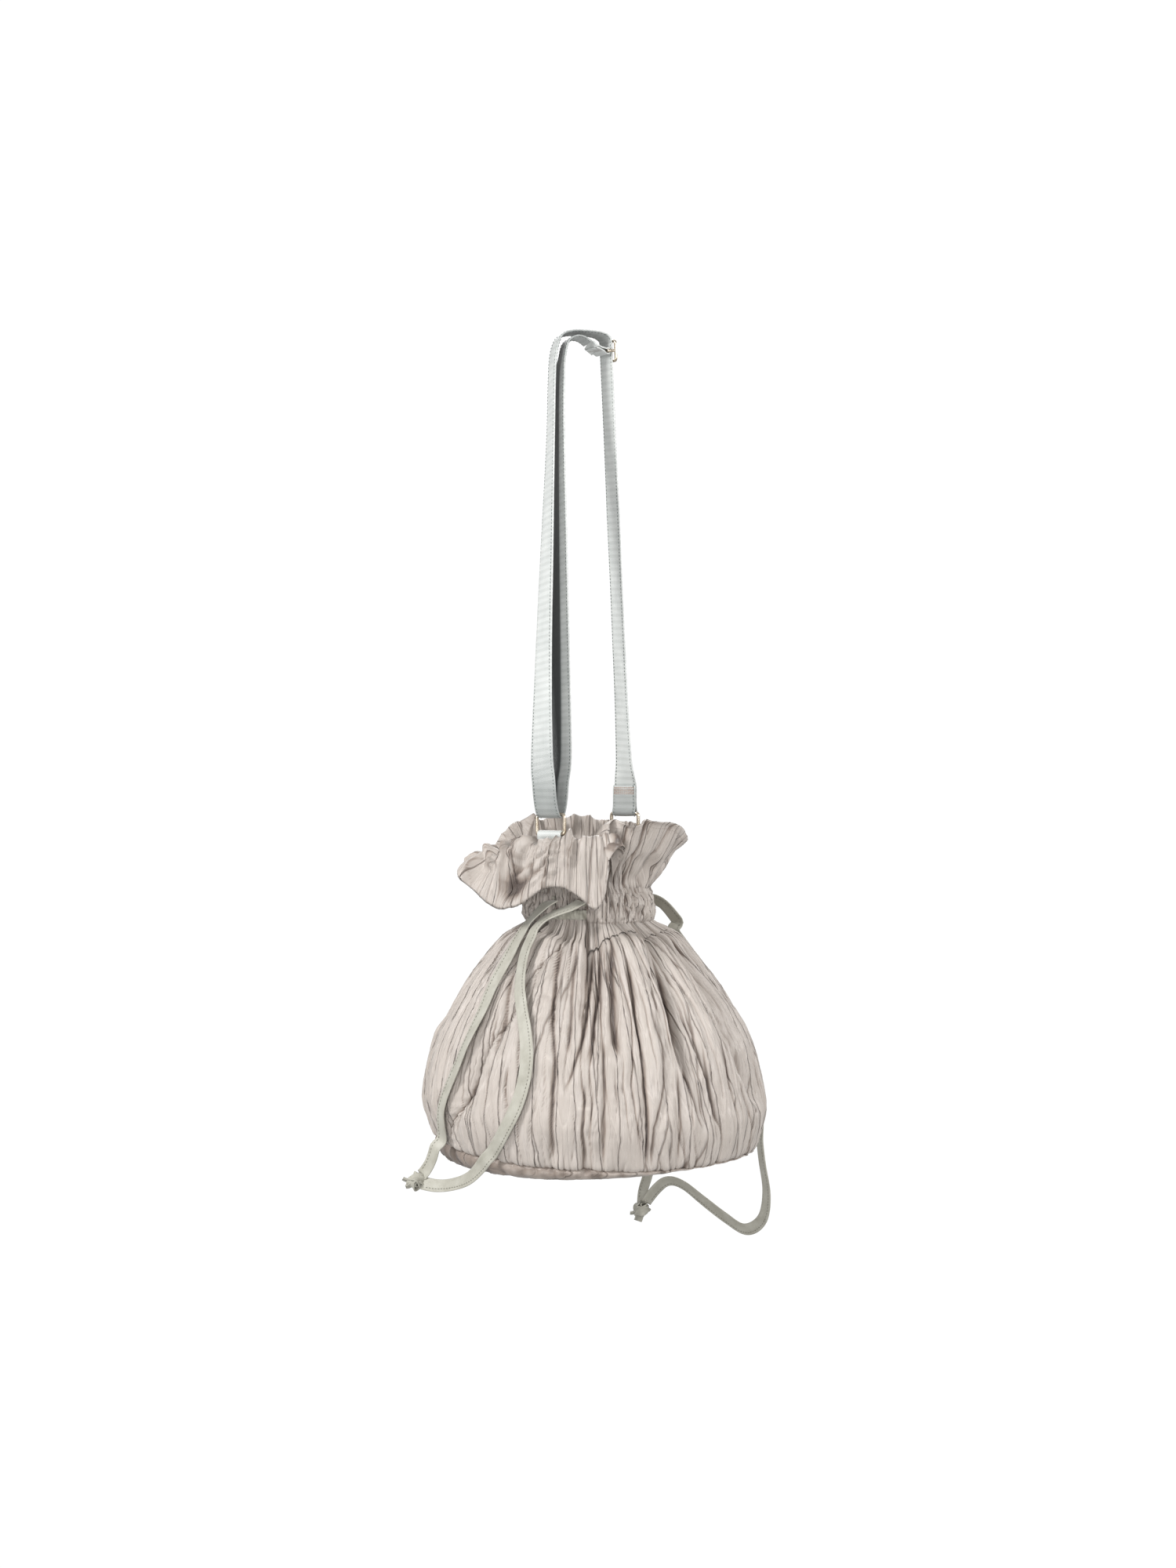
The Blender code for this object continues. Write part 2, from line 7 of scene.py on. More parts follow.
import bmesh
import bpy
import numpy as np
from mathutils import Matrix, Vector


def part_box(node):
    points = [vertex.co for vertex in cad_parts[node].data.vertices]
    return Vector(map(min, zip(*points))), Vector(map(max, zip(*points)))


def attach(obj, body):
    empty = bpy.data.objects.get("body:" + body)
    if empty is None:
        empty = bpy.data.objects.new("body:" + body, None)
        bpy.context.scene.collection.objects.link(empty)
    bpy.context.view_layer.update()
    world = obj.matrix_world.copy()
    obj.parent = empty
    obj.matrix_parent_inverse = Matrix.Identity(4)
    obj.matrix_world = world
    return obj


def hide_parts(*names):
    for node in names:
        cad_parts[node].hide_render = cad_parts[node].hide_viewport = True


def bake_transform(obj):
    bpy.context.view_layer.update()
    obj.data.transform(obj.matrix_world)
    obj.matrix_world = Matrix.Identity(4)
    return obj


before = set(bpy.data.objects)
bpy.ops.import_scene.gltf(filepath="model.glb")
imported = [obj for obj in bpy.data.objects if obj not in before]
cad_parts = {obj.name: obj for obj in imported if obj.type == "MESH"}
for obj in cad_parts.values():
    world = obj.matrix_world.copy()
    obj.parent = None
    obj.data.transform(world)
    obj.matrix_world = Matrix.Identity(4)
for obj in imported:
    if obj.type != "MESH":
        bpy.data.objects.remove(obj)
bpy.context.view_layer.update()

# ---------------------------------------------------------------- driving sizes
CAMERA_TURN = math.radians(-58)        # the viewing direction, about +Z
CAMERA_DISTANCE = 2.1
FRAME_HEIGHT = 1.46                    # height of the picture at the object
AIM = (0.0050, -0.0081, -0.4117)
LIT_POINT = (0, 0, -0.55)

WEB_WIDTH = 0.025
WEB_THICK = 0.0014
TAPE_WIDTH = 0.012
TAPE_THICK = 0.0013
WIRE = 0.0017
SLIDER_WIRE = 0.0014
WEB_GAP = 0.0003                       # between webbing and the wire it bends round
LAYER_HALF = 0.0011                    # from the middle of two sewn layers to each layer's own middle
SEWN_OUT = LAYER_HALF + WEB_THICK / 2 + 0.0002
RING_WIDTH = 0.0296                    # of the rings and the slider, between wire middles

CHANNEL_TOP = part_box("front_casing")[1][2]
CHANNEL_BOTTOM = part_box("front_casing")[0][2]
BASE_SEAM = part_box("front_panel")[0][2]
BASE_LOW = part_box("base_panel")[0][2]
RING_X = (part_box("right_ring")[0][0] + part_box("right_ring")[1][0]) / 2
MOUTH_Y = (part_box("right_ring")[0][1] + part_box("right_ring")[1][1]) / 2
RING_RAISE = 0.0008                    # the pictured rings reach a little higher than the CAD's
RING_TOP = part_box("right_ring")[1][2] - WIRE + RING_RAISE
RING_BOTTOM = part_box("right_ring")[0][2] + WIRE
BASE_Y = (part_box("base_panel")[0][1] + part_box("base_panel")[1][1]) / 2
NECK_R = 0.0585

# Body radius up from the base seam: (height, radius)
BODY_PROFILE = [(-0.7465, 0.151), (-0.741, 0.1526), (-0.7176, 0.159), (-0.7, 0.16), (-0.6658, 0.1533),
                (-0.6366, 0.1442), (-0.602, 0.1256), (-0.573, 0.105), (-0.548, 0.0835), (-0.541, 0.064)]
# The side seams' turn about the bag's axis: (height, degrees)
SEAM_TURN = [(-0.7605, -28), (-0.7465, -28), (-0.67, -12), (-0.59, 0), (-0.541, 12), (-0.507, 13),
             (-0.48, 6), (-0.44, 3)]
# The frill's upper edge: (direction in degrees from +X, radius, height, rise of the frill's middle above a
# straight line)
FRILL_RIM = [(0, 0.088, -0.449, 0), (15, 0.086, -0.446, 0), (30, 0.084, -0.445, 0), (45, 0.084, -0.444, 0),
             (60, 0.085, -0.445, 0), (75, 0.086, -0.446, 0), (90, 0.088, -0.45, 0.002),
             (105, 0.099, -0.476, 0.01), (120, 0.109, -0.49, 0.018), (135, 0.11, -0.505, 0.029),
             (150, 0.108, -0.518, 0.04), (164, 0.105, -0.524, 0.046), (174, 0.099, -0.519, 0.048),
             (184, 0.09, -0.507, 0.045), (198, 0.085, -0.506, 0.045), (208, 0.089, -0.515, 0.049),
             (216, 0.092, -0.523, 0.052), (221, 0.091, -0.51, 0.044), (226, 0.083, -0.466, 0.008),
             (231, 0.08, -0.451, 0), (240, 0.081, -0.449, -0.001), (255, 0.084, -0.446, -0.002),
             (270, 0.087, -0.446, -0.003), (285, 0.089, -0.451, -0.003), (300, 0.09, -0.461, -0.003),
             (315, 0.09, -0.46, -0.003), (330, 0.09, -0.453, -0.002), (345, 0.089, -0.45, 0)]
RIM_TURN = 4.0                         # of the table above, about the bag's axis

# Where the drawcords are knotted, as in the CAD
LEFT_KNOT = (-0.144, 0.080, -0.782)
RIGHT_KNOT = (0.165, 0.029, -0.835)


# ---------------------------------------------------------------- small tools
def smooth_curve(points, per_span):
    """Catmull-Rom samples through the points, as an array."""
    pts = np.asarray(points, float)
    last = len(pts) - 1
    out = []
    for i in range(last):
        a, b, c, d = pts[max(i - 1, 0)], pts[i], pts[i + 1], pts[min(i + 2, last)]
        for k in range(per_span):
            t = k / per_span
            out.append(0.5 * (2 * b + (c - a) * t + (2 * a - 5 * b + 4 * c - d) * t * t
                              + (3 * b - a - 3 * c + d) * t ** 3))
    out.append(pts[last])
    return np.array(out)


def even(points, step):
    """The same line with points a step apart."""
    pts = np.asarray(points, float)
    gaps = np.linalg.norm(np.diff(pts[:, :3], axis=0), axis=1)
    along = np.concatenate([[0], np.cumsum(gaps)])
    count = max(2, int(round(along[-1] / step)) + 1)
    want = np.linspace(0, along[-1], count)
    return np.stack([np.interp(want, along, pts[:, k]) for k in range(pts.shape[1])], axis=1)


def ease(t):
    """A share from 0 to 1, eased at both ends."""
    return t * t * (3 - 2 * t)


def settle(values, rounds):
    """Smooths values along a line in place, keeping its ends."""
    for _ in range(rounds):
        values[1:-1] = values[1:-1] * 0.5 + (values[:-2] + values[2:]) * 0.25


def eased(table, at):
    """Values eased between (height, value) pairs in rising height."""
    at = np.asarray(at, float)
    heights = np.array([row[0] for row in table])
    values = np.array([row[1] for row in table])
    i = np.clip(np.searchsorted(heights, at, side="right") - 1, 0, len(table) - 2)
    t = ease(np.clip((at - heights[i]) / (heights[i + 1] - heights[i]), 0, 1))
    return values[i] + (values[i + 1] - values[i]) * t


def around(table, angle):
    """Smooth values round a closed table, whose first column is the angle in degrees."""
    rows = np.array(table)
    rows = np.concatenate([rows[-2:] - [360, 0, 0, 0], rows, rows[:2] + [360, 0, 0, 0]])
    angle = np.asarray(angle, float) % 360.0
    slope = np.gradient(rows[:, 1:], rows[:, 0], axis=0)
    i = np.clip(np.searchsorted(rows[:, 0], angle, side="right") - 1, 0, len(rows) - 2)
    wide = (rows[i + 1, 0] - rows[i, 0])[..., None]
    t = (angle - rows[i, 0])[..., None] / wide
    out = (rows[i, 1:] * (2 * t ** 3 - 3 * t * t + 1) + rows[i + 1, 1:] * (3 * t * t - 2 * t ** 3)
           + wide * (slope[i] * (t ** 3 - 2 * t * t + t) + slope[i + 1] * (t ** 3 - t * t)))
    return [out[..., k] for k in range(out.shape[-1])]


def soft_noise(a, b, cells_a, cells_b, seed):
    """Value noise from -1 to 1 on a in 0..1 (wrapping) and b in 0..1."""
    rng = np.random.default_rng(seed)
    lattice = rng.uniform(-1, 1, (cells_a, cells_b + 3))
    x = (np.asarray(a) % 1.0) * cells_a
    y = np.clip(b, 0, 1) * cells_b
    i = np.floor(x).astype(int)
    j = np.floor(y).astype(int)
    s = ease(x - i)
    t = ease(y - j)
    i0 = i % cells_a
    i1 = (i + 1) % cells_a
    low = lattice[i0, j] * (1 - s) + lattice[i1, j] * s
    high = lattice[i0, j + 1] * (1 - s) + lattice[i1, j + 1] * s
    return low * (1 - t) + high * t


def link(obj):
    bpy.context.scene.collection.objects.link(obj)
    return obj


def mesh_object(name, verts, faces, mat, uv=None, painted_shade=None):
    """A mesh from arrays of points and quads, with UVs by vertex and a painted shade from 0 to 1 as a vertex
    attribute.
    """
    mesh = bpy.data.meshes.new(name)
    verts = np.asarray(verts, np.float32).reshape(-1, 3)
    faces = np.asarray(faces, np.int32)
    mesh.vertices.add(len(verts))
    mesh.vertices.foreach_set("co", verts.ravel())
    mesh.loops.add(faces.size)
    mesh.loops.foreach_set("vertex_index", faces.ravel())
    mesh.polygons.add(len(faces))
    mesh.polygons.foreach_set("loop_start", np.arange(0, faces.size, faces.shape[1], dtype=np.int32))
    mesh.polygons.foreach_set("use_smooth", np.ones(len(faces), bool))
    if uv is not None:
        layer = mesh.uv_layers.new(name="Fabric")
        layer.data.foreach_set("uv", np.asarray(uv, np.float32).reshape(-1, 2)[faces.ravel()].ravel())
    mesh.update(calc_edges=True)
    if painted_shade is not None:
        data = mesh.attributes.new("painted_shade", "FLOAT", "POINT")
        data.data.foreach_set("value", np.asarray(painted_shade, np.float32).ravel())
    mesh.validate()
    mesh.materials.append(mat)
    return link(bpy.data.objects.new(name, mesh))


def belong(piece, body, slot, *nodes):
    """The body a piece rides on and the CAD nodes it stands for, which are hidden; slot is not used."""
    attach(piece, body)
    if nodes:
        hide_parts(*nodes)


def grid_faces(rows, columns, closed=False, flip=False):
    """Quads between neighbouring rows of a grid of points."""
    i = np.arange(rows - 1)[:, None]
    j = np.arange(columns if closed else columns - 1)[None, :]
    k = (j + 1) % columns
    quads = np.stack([i * columns + j, i * columns + k, (i + 1) * columns + k, (i + 1) * columns + j],
                     axis=-1).reshape(-1, 4)
    return quads[:, ::-1] if flip else quads


def closing_faces(rows, columns):
    """Quads from the last row of a ring of rows to its first."""
    last = (rows - 1) * columns
    j = np.arange(columns)
    k = (j + 1) % columns
    return np.stack([last + j, last + k, k, j], axis=-1)


def flat_way(turn):
    """Level unit directions at turns in radians from +X."""
    return np.stack([np.cos(turn), np.sin(turn), 0 * turn], axis=-1)


def unit(v):
    return v / np.maximum(np.linalg.norm(v, axis=-1, keepdims=True), 1e-12)


# ---------------------------------------------------------------- materials
def nodes_of(name):
    mat = bpy.data.materials.new(name)
    mat.use_nodes = True
    tree = mat.node_tree
    return mat, tree, tree.nodes["Principled BSDF"]


def set_inputs(node, inputs):
    for key, value in inputs.items():
        node.inputs[key].default_value = value


def add_node(tree, kind, inputs=None, **settings):
    node = tree.nodes.new(kind)
    for key, value in settings.items():
        setattr(node, key, value)
    set_inputs(node, inputs or {})
    return node


def fabric_place(tree):
    return add_node(tree, "ShaderNodeUVMap", uv_map="Fabric").outputs["UV"]


def object_place(tree):
    return add_node(tree, "ShaderNodeTexCoord").outputs["Object"]


def painted_shade_value(tree):
    return add_node(tree, "ShaderNodeAttribute", attribute_name="painted_shade").outputs["Fac"]


def mapped(tree, source, scale):
    node = add_node(tree, "ShaderNodeMapping", {"Scale": scale})
    tree.links.new(source, node.inputs["Vector"])
    return node.outputs["Vector"]


def noise(tree, vector, stretch, detail=3.0, roughness=0.55):
    """Noise with its cells stretched by a scale along each axis."""
    stretched = mapped(tree, vector, stretch)
    node = add_node(tree, "ShaderNodeTexNoise", {"Scale": 1.0, "Detail": detail, "Roughness": roughness})
    tree.links.new(stretched, node.inputs["Vector"])
    return node.outputs["Fac"]


def ramp(tree, source, stops):
    node = add_node(tree, "ShaderNodeValToRGB")
    elements = node.color_ramp.elements
    while len(elements) < len(stops):
        elements.new(0.5)
    for element, (place, colour) in zip(elements, stops):
        element.position = place
        element.color = (*colour, 1.0)
    tree.links.new(source, node.inputs["Fac"])
    return node.outputs["Color"]


def shaded(tree, tone, source, stops, factor=1.0):
    """A tone darkened by a ramp of a value."""
    shade = ramp(tree, source, stops)
    node = add_node(tree, "ShaderNodeMix", {"Factor": factor}, data_type="RGBA", blend_type="MULTIPLY")
    tree.links.new(tone, node.inputs[6])
    tree.links.new(shade, node.inputs[7])
    return node.outputs[2]


def math_node(tree, operation, a, b=0.0):
    node = add_node(tree, "ShaderNodeMath", operation=operation)
    for socket, value in ((node.inputs[0], a), (node.inputs[1], b)):
        if isinstance(value, (int, float)):
            socket.default_value = value
        else:
            tree.links.new(value, socket)
    return node.outputs[0]


def wave(tree, source, pitch):
    return math_node(tree, "SINE", math_node(tree, "MULTIPLY", source, 2 * math.pi / pitch))


def bump(tree, shader, height, strength, distance, normal=None):
    node = add_node(tree, "ShaderNodeBump", {"Strength": strength, "Distance": distance})
    tree.links.new(height, node.inputs["Height"])
    if normal is not None:
        tree.links.new(normal, node.inputs["Normal"])
    if shader is not None:
        tree.links.new(node.outputs["Normal"], shader.inputs["Normal"])
    return node.outputs["Normal"]


def to_value(tree, source, low, high, source_low=0.0):
    node = add_node(tree, "ShaderNodeMapRange", {"From Min": source_low, "To Min": low, "To Max": high})
    tree.links.new(source, node.inputs["Value"])
    return node.outputs["Result"]


def coat(tree, shader, tone, wear, smooth, rough):
    """A shader's colour, and its roughness from smooth to rough by a value."""
    tree.links.new(tone, shader.inputs["Base Color"])
    tree.links.new(to_value(tree, wear, smooth, rough), shader.inputs["Roughness"])


def satin_material():
    """Crinkled polyester satin: fine upright streaks, small facets with painted shade and painted highlight
    veins at their edges, a soft sheen and painted shade in the fold bottoms.
    """
    mat, tree, shader = nodes_of("crinkled_satin")
    uv = fabric_place(tree)
    streaks = noise(tree, uv, (620, 42, 1), 4.0, 0.62)
    patches = noise(tree, uv, (70, 16, 1), 3.0)
    weave = noise(tree, uv, (5200, 900, 1), 1.0)
    tone = ramp(tree, patches, [(0.30, (0.490, 0.440, 0.400)), (0.52, (0.535, 0.485, 0.443)),
                                (0.72, (0.580, 0.529, 0.490))])
    tone = shaded(tree, tone, streaks, [(0.32, (0.93, 0.925, 0.92)), (0.66, (1, 1, 1))])
    bend = add_node(tree, "ShaderNodeTexNoise", {"Scale": 1.0, "Detail": 3.0})
    tree.links.new(mapped(tree, uv, (28, 20, 1)), bend.inputs["Vector"])
    shift = add_node(tree, "ShaderNodeVectorMath", operation="MULTIPLY")
    tree.links.new(bend.outputs["Color"], shift.inputs[0])
    shift.inputs[1].default_value = (0.008, 0.030, 0.0)
    bent = add_node(tree, "ShaderNodeVectorMath", operation="ADD")
    tree.links.new(uv, bent.inputs[0])
    tree.links.new(shift.outputs[0], bent.inputs[1])
    facets = []
    for scale, reach in (((54, 4.0, 1), 0.045), ((120, 11, 1), 0.08)):
        cells = add_node(tree, "ShaderNodeTexVoronoi", {"Scale": 1.0, "Randomness": 1.0},
                         feature="DISTANCE_TO_EDGE", voronoi_dimensions="2D")
        tree.links.new(mapped(tree, bent.outputs[0], scale), cells.inputs["Vector"])
        level = add_node(tree, "ShaderNodeMapRange", {"From Max": reach}, interpolation_type="SMOOTHSTEP")
        tree.links.new(cells.outputs["Distance"], level.inputs["Value"])
        facets.append(level.outputs["Result"])
    # painted shade along the larger facets' edges, and a painted highlight of thin light veins along the
    # smaller facets' edges
    tone = shaded(tree, tone, facets[0], [(0, (0.50, 0.46, 0.44)), (0.5, (1, 1, 1))])
    tone = shaded(tree, tone, facets[1], [(0, (1, 1, 1)), (0.4, (0.90, 0.895, 0.89))])
    # painted shade from a vertex attribute: dark crease lines, fold bottoms and hollows
    tone = shaded(tree, tone, painted_shade_value(tree), [(0.22, (1, 1, 1)), (0.62, (0.58, 0.53, 0.50)),
                                                 (1, (0.20, 0.17, 0.16))])
    coat(tree, shader, tone, patches, 0.32, 0.46)
    set_inputs(shader, {"Sheen Weight": 0.12, "Sheen Roughness": 0.4, "Specular IOR Level": 0.40})
    large = bump(tree, None, facets[0], 0.8, 0.0016)
    small = bump(tree, None, facets[1], 0.5, 0.0006, large)
    crinkle = bump(tree, None, streaks, 0.8, 0.0010, small)
    bump(tree, shader, weave, 0.25, 0.00012, crinkle)
    return mat


def lining_material():
    mat, tree, shader = nodes_of("plain_lining")
    place = object_place(tree)
    folds = noise(tree, place, (60, 60, 16), 4.0)
    tone = ramp(tree, folds, [(0.3, (0.40, 0.35, 0.31)), (0.7, (0.52, 0.46, 0.41))])
    tree.links.new(tone, shader.inputs["Base Color"])
    set_inputs(shader, {"Roughness": 0.62, "Sheen Weight": 0.15})
    bump(tree, shader, folds, 0.5, 0.001)
    return mat


def tape_material():
    """Folded satin tape: sage grey, with a fine grain along it."""
    mat, tree, shader = nodes_of("drawcord_tape")
    uv = fabric_place(tree)
    grain = noise(tree, uv, (1500, 160, 1), 3.0)
    creases = noise(tree, uv, (90, 60, 1), 3.0)
    tone = ramp(tree, creases, [(0.3, (0.335, 0.322, 0.270)), (0.55, (0.405, 0.393, 0.338)),
                                (0.8, (0.465, 0.455, 0.400))])
    tone = shaded(tree, tone, grain, [(0.3, (0.82, 0.82, 0.80)), (0.7, (1, 1, 1))], 0.5)
    coat(tree, shader, tone, grain, 0.46, 0.62)
    shader.inputs["Sheen Weight"].default_value = 0.2
    crease_normal = bump(tree, None, creases, 0.6, 0.0012)
    bump(tree, shader, grain, 0.3, 0.0002, crease_normal)
    return mat


def webbing_material():
    """Satin webbing: fine slanted ribs in a herringbone, with faint bands across it, and painted shade from a
    vertex attribute.
    """
    mat, tree, shader = nodes_of("strap_webbing")
    uv = fabric_place(tree)
    split = add_node(tree, "ShaderNodeSeparateXYZ")
    tree.links.new(uv, split.inputs["Vector"])
    across, along = split.outputs["X"], split.outputs["Y"]
    column = math_node(tree, "PINGPONG", across, 0.00185)
    slant = math_node(tree, "ADD", math_node(tree, "MULTIPLY", column, 0.75), along)
    rib = math_node(tree, "MULTIPLY", wave(tree, slant, 0.00105), 0.6)
    warp = math_node(tree, "MULTIPLY", wave(tree, across, 0.00062), 0.4)
    level = to_value(tree, math_node(tree, "ADD", rib, warp), 0.0, 1.0, source_low=-1.0)
    blotch = noise(tree, uv, (60, 45, 1), 2.0)
    band = to_value(tree, wave(tree, along, 0.0062), 0.0, 1.0, source_low=-1.0)
    tone = ramp(tree, level, [(0.15, (0.400, 0.418, 0.405)), (0.6, (0.670, 0.686, 0.668)),
                              (0.95, (0.850, 0.862, 0.845))])
    tone = shaded(tree, tone, band, [(0.2, (0.88, 0.885, 0.88)), (0.7, (1, 1, 1))])
    # painted shade from a vertex attribute: a painted shadow on the inside of the double run and painted
    # shade at the bends
    tone = shaded(tree, tone, painted_shade_value(tree), [(0, (1, 1, 1)), (0.5, (0.16, 0.18, 0.18)),
                                                 (1, (0.025, 0.03, 0.03))])
    tone = shaded(tree, tone, blotch, [(0.3, (0.86, 0.87, 0.87)), (0.7, (1, 1, 1))])
    coat(tree, shader, tone, blotch, 0.36, 0.50)
    set_inputs(shader, {"Sheen Weight": 0.3, "Specular IOR Level": 0.6})
    bump(tree, shader, level, 0.55, 0.00025)
    return mat


def metal_material():
    """Pale nickel wire, lightly worn."""
    mat, tree, shader = nodes_of("pale_nickel")
    place = object_place(tree)
    wear = noise(tree, place, (160, 160, 160), 3.0)
    tone = ramp(tree, wear, [(0.3, (0.58, 0.49, 0.38)), (0.6, (0.68, 0.60, 0.49)),
                             (0.85, (0.78, 0.72, 0.62))])
    coat(tree, shader, tone, wear, 0.20, 0.36)
    shader.inputs["Metallic"].default_value = 1.0
    bump(tree, shader, wear, 0.04, 0.0001)
    return mat


def thread_material(name, colour):
    mat, tree, shader = nodes_of(name)
    place = object_place(tree)
    twist = noise(tree, place, (2500, 2500, 2500), 2.0)
    dark = tuple(c * 0.8 for c in colour)
    tree.links.new(ramp(tree, twist, [(0.3, dark), (0.7, colour)]), shader.inputs["Base Color"])
    shader.inputs["Roughness"].default_value = 0.55
    bump(tree, shader, twist, 0.4, 0.0002)
    return mat


SATIN = satin_material()
LINING = lining_material()
TAPE = tape_material()
WEBBING = webbing_material()
METAL = metal_material()
SEWING = thread_material("thread_taupe", (0.40, 0.34, 0.30))
ROSE = thread_material("thread_rose", (0.50, 0.33, 0.26))
# the tape's stitching thread is darkened to paint the small shadows its stitches cast
TAPE_THREAD_AND_SHADOW = thread_material("tape_thread_and_painted_shadow", (0.25, 0.24, 0.20))
EDGING = thread_material("strap_edge_thread", (0.17, 0.20, 0.19))


# ---------------------------------------------------------------- camera, light and floor
def point_at(obj, target):
    direction = Vector(target) - obj.location
    obj.rotation_mode = "QUATERNION"
    obj.rotation_quaternion = direction.to_track_quat("-Z", "Y")


def make_camera():
    data = bpy.data.cameras.new("camera")
    data.sensor_width = 36.0
    data.lens = 36.0 * CAMERA_DISTANCE / FRAME_HEIGHT
    camera = link(bpy.data.objects.new("camera", data))
    back = Vector((math.sin(CAMERA_TURN), -math.cos(CAMERA_TURN), 0))
    camera.location = Vector(AIM) + back * CAMERA_DISTANCE
    point_at(camera, AIM)
    bpy.context.scene.camera = camera


def area_light(name, turn, height, distance, size, power):
    """A square soft box, at a turn from the camera's own direction."""
    data = bpy.data.lights.new(name, "AREA")
    data.shape = "SQUARE"
    data.size = size
    data.energy = power
    lamp = link(bpy.data.objects.new(name, data))
    a = CAMERA_TURN + math.radians(turn)
    lamp.location = Vector((math.sin(a) * distance, -math.cos(a) * distance, height))
    point_at(lamp, LIT_POINT)


def make_studio():
    world = bpy.data.worlds.new("studio")
    world.use_nodes = True
    set_inputs(world.node_tree.nodes["Background"], {"Color": (1, 1, 1, 1), "Strength": 0.52})
    bpy.context.scene.world = world
    bpy.context.scene.view_settings.view_transform = "Standard"
    # (name, turn from the camera, height, distance, size, power)
    for light in (("key", -58, 0.9, 2.0, 0.50, 44), ("side", 72, 0.3, 2.0, 0.45, 27),
                  ("front", 8, 0.1, 2.4, 0.9, 14), ("back", 180, 0.8, 2.0, 1.0, 20),
                  ("low", -20, -1.1, 2.2, 0.8, 17)):
        area_light(*light)
    # a plain pale backdrop all round, which only the camera sees
    mat = bpy.data.materials.new("pale_backdrop")
    mat.use_nodes = True
    tree = mat.node_tree
    tree.nodes.remove(tree.nodes["Principled BSDF"])
    glow = add_node(tree, "ShaderNodeEmission", {"Strength": 1.06})
    place = object_place(tree)
    cloud = noise(tree, place, (0.05, 0.05, 0.05), 1.0)
    tree.links.new(ramp(tree, cloud, [(0.2, (0.95, 0.95, 0.955)), (0.5, (1, 1, 1))]), glow.inputs["Color"])
    tree.links.new(glow.outputs[0], tree.nodes["Material Output"].inputs["Surface"])
    bm = bmesh.new()
    bmesh.ops.create_uvsphere(bm, u_segments=48, v_segments=24, radius=15.0)
    mesh = bpy.data.meshes.new("backdrop")
    bm.to_mesh(mesh)
    bm.free()
    mesh.materials.append(mat)
    backdrop = link(bpy.data.objects.new("backdrop", mesh))
    for kind in ("diffuse", "glossy", "transmission", "volume_scatter", "shadow"):
        setattr(backdrop, "visible_" + kind, False)


make_camera()
make_studio()


# ---------------------------------------------------------------- the bag's surface
PROFILE = smooth_curve(BODY_PROFILE, 12)
PROFILE_SLOPE = np.gradient(PROFILE[:, 1], PROFILE[:, 0])
RIGHT_OF_VIEW = np.array([math.cos(CAMERA_TURN), math.sin(CAMERA_TURN)])


def lean(points):
    """The hanging bag tilts down to the right of the view, and its base curves up a little at both sides."""
    tilt, curve, half = 0.040, 0.006, 0.15
    points = np.array(points, float)
    down = np.clip((CHANNEL_BOTTOM - points[..., 2]) / (CHANNEL_BOTTOM - BASE_SEAM), 0, 1.15)
    across = points[..., :2] @ RIGHT_OF_VIEW
    points[..., 2] += (curve * (across / half) ** 2 * down - tilt * across) * down ** 1.4
    return points


def seam_turn(z, v):
    """The side seams' turn about the bag's axis, in degrees."""
    frill = np.clip(v - 2, 0, 1)
    return np.where(v > 2, 13.0 - 9.0 * frill, eased(SEAM_TURN, np.minimum(z, CHANNEL_TOP)))


def level_height(v):
    """Heights of the levels up to the channel's top."""
    body = (CHANNEL_BOTTOM - BASE_SEAM) * np.clip(v, 0, 1)
    return BASE_SEAM + body + (CHANNEL_TOP - CHANNEL_BOTTOM) * np.clip(v - 1, 0, 1)


def turn_at(v):
    """The side seams' turn at a level, in degrees."""
    return seam_turn(level_height(v), v)


def panel_angles(start, levels, columns):
    """Each row's angles across half the bag: upright in its middle, and following the seams at its sides."""
    t = np.linspace(0, 1, columns)
    side = ease(np.clip(np.minimum(t, 1 - t) / 0.25, 0, 1))
    return start + 180 * t[None, :] - turn_at(levels)[:, None] * side[None, :]


def bag_skin(angle, v):
    """Outside of the bag before its folds. angle is in degrees from the far seam; v is 0 to 1 on the
    body, 1 to 2 on the channel and 2 to 3 on the frill."""
    angle, v = np.broadcast_arrays(np.asarray(angle, float), np.asarray(v, float))
    frill = np.clip(v - 2, 0, 1)
    rim_r, rim_z, rise = around(FRILL_RIM, angle + RIM_TURN)
    z = level_height(v) + (rim_z - CHANNEL_TOP) * frill + rise * np.sin(math.pi * frill)
    radius = np.interp(z, PROFILE[:, 0], PROFILE[:, 1])
    radius = np.where(v > 1, NECK_R + (rim_r - NECK_R) * frill ** 1.15, radius)
    phi = np.radians(angle + seam_turn(z, v))
    down = np.clip((CHANNEL_TOP - z) / (CHANNEL_TOP - BASE_SEAM), 0, 1)
    y = MOUTH_Y + (BASE_Y - MOUTH_Y) * down
    return np.stack([radius * np.cos(phi), y + radius * np.sin(phi), z], axis=-1)


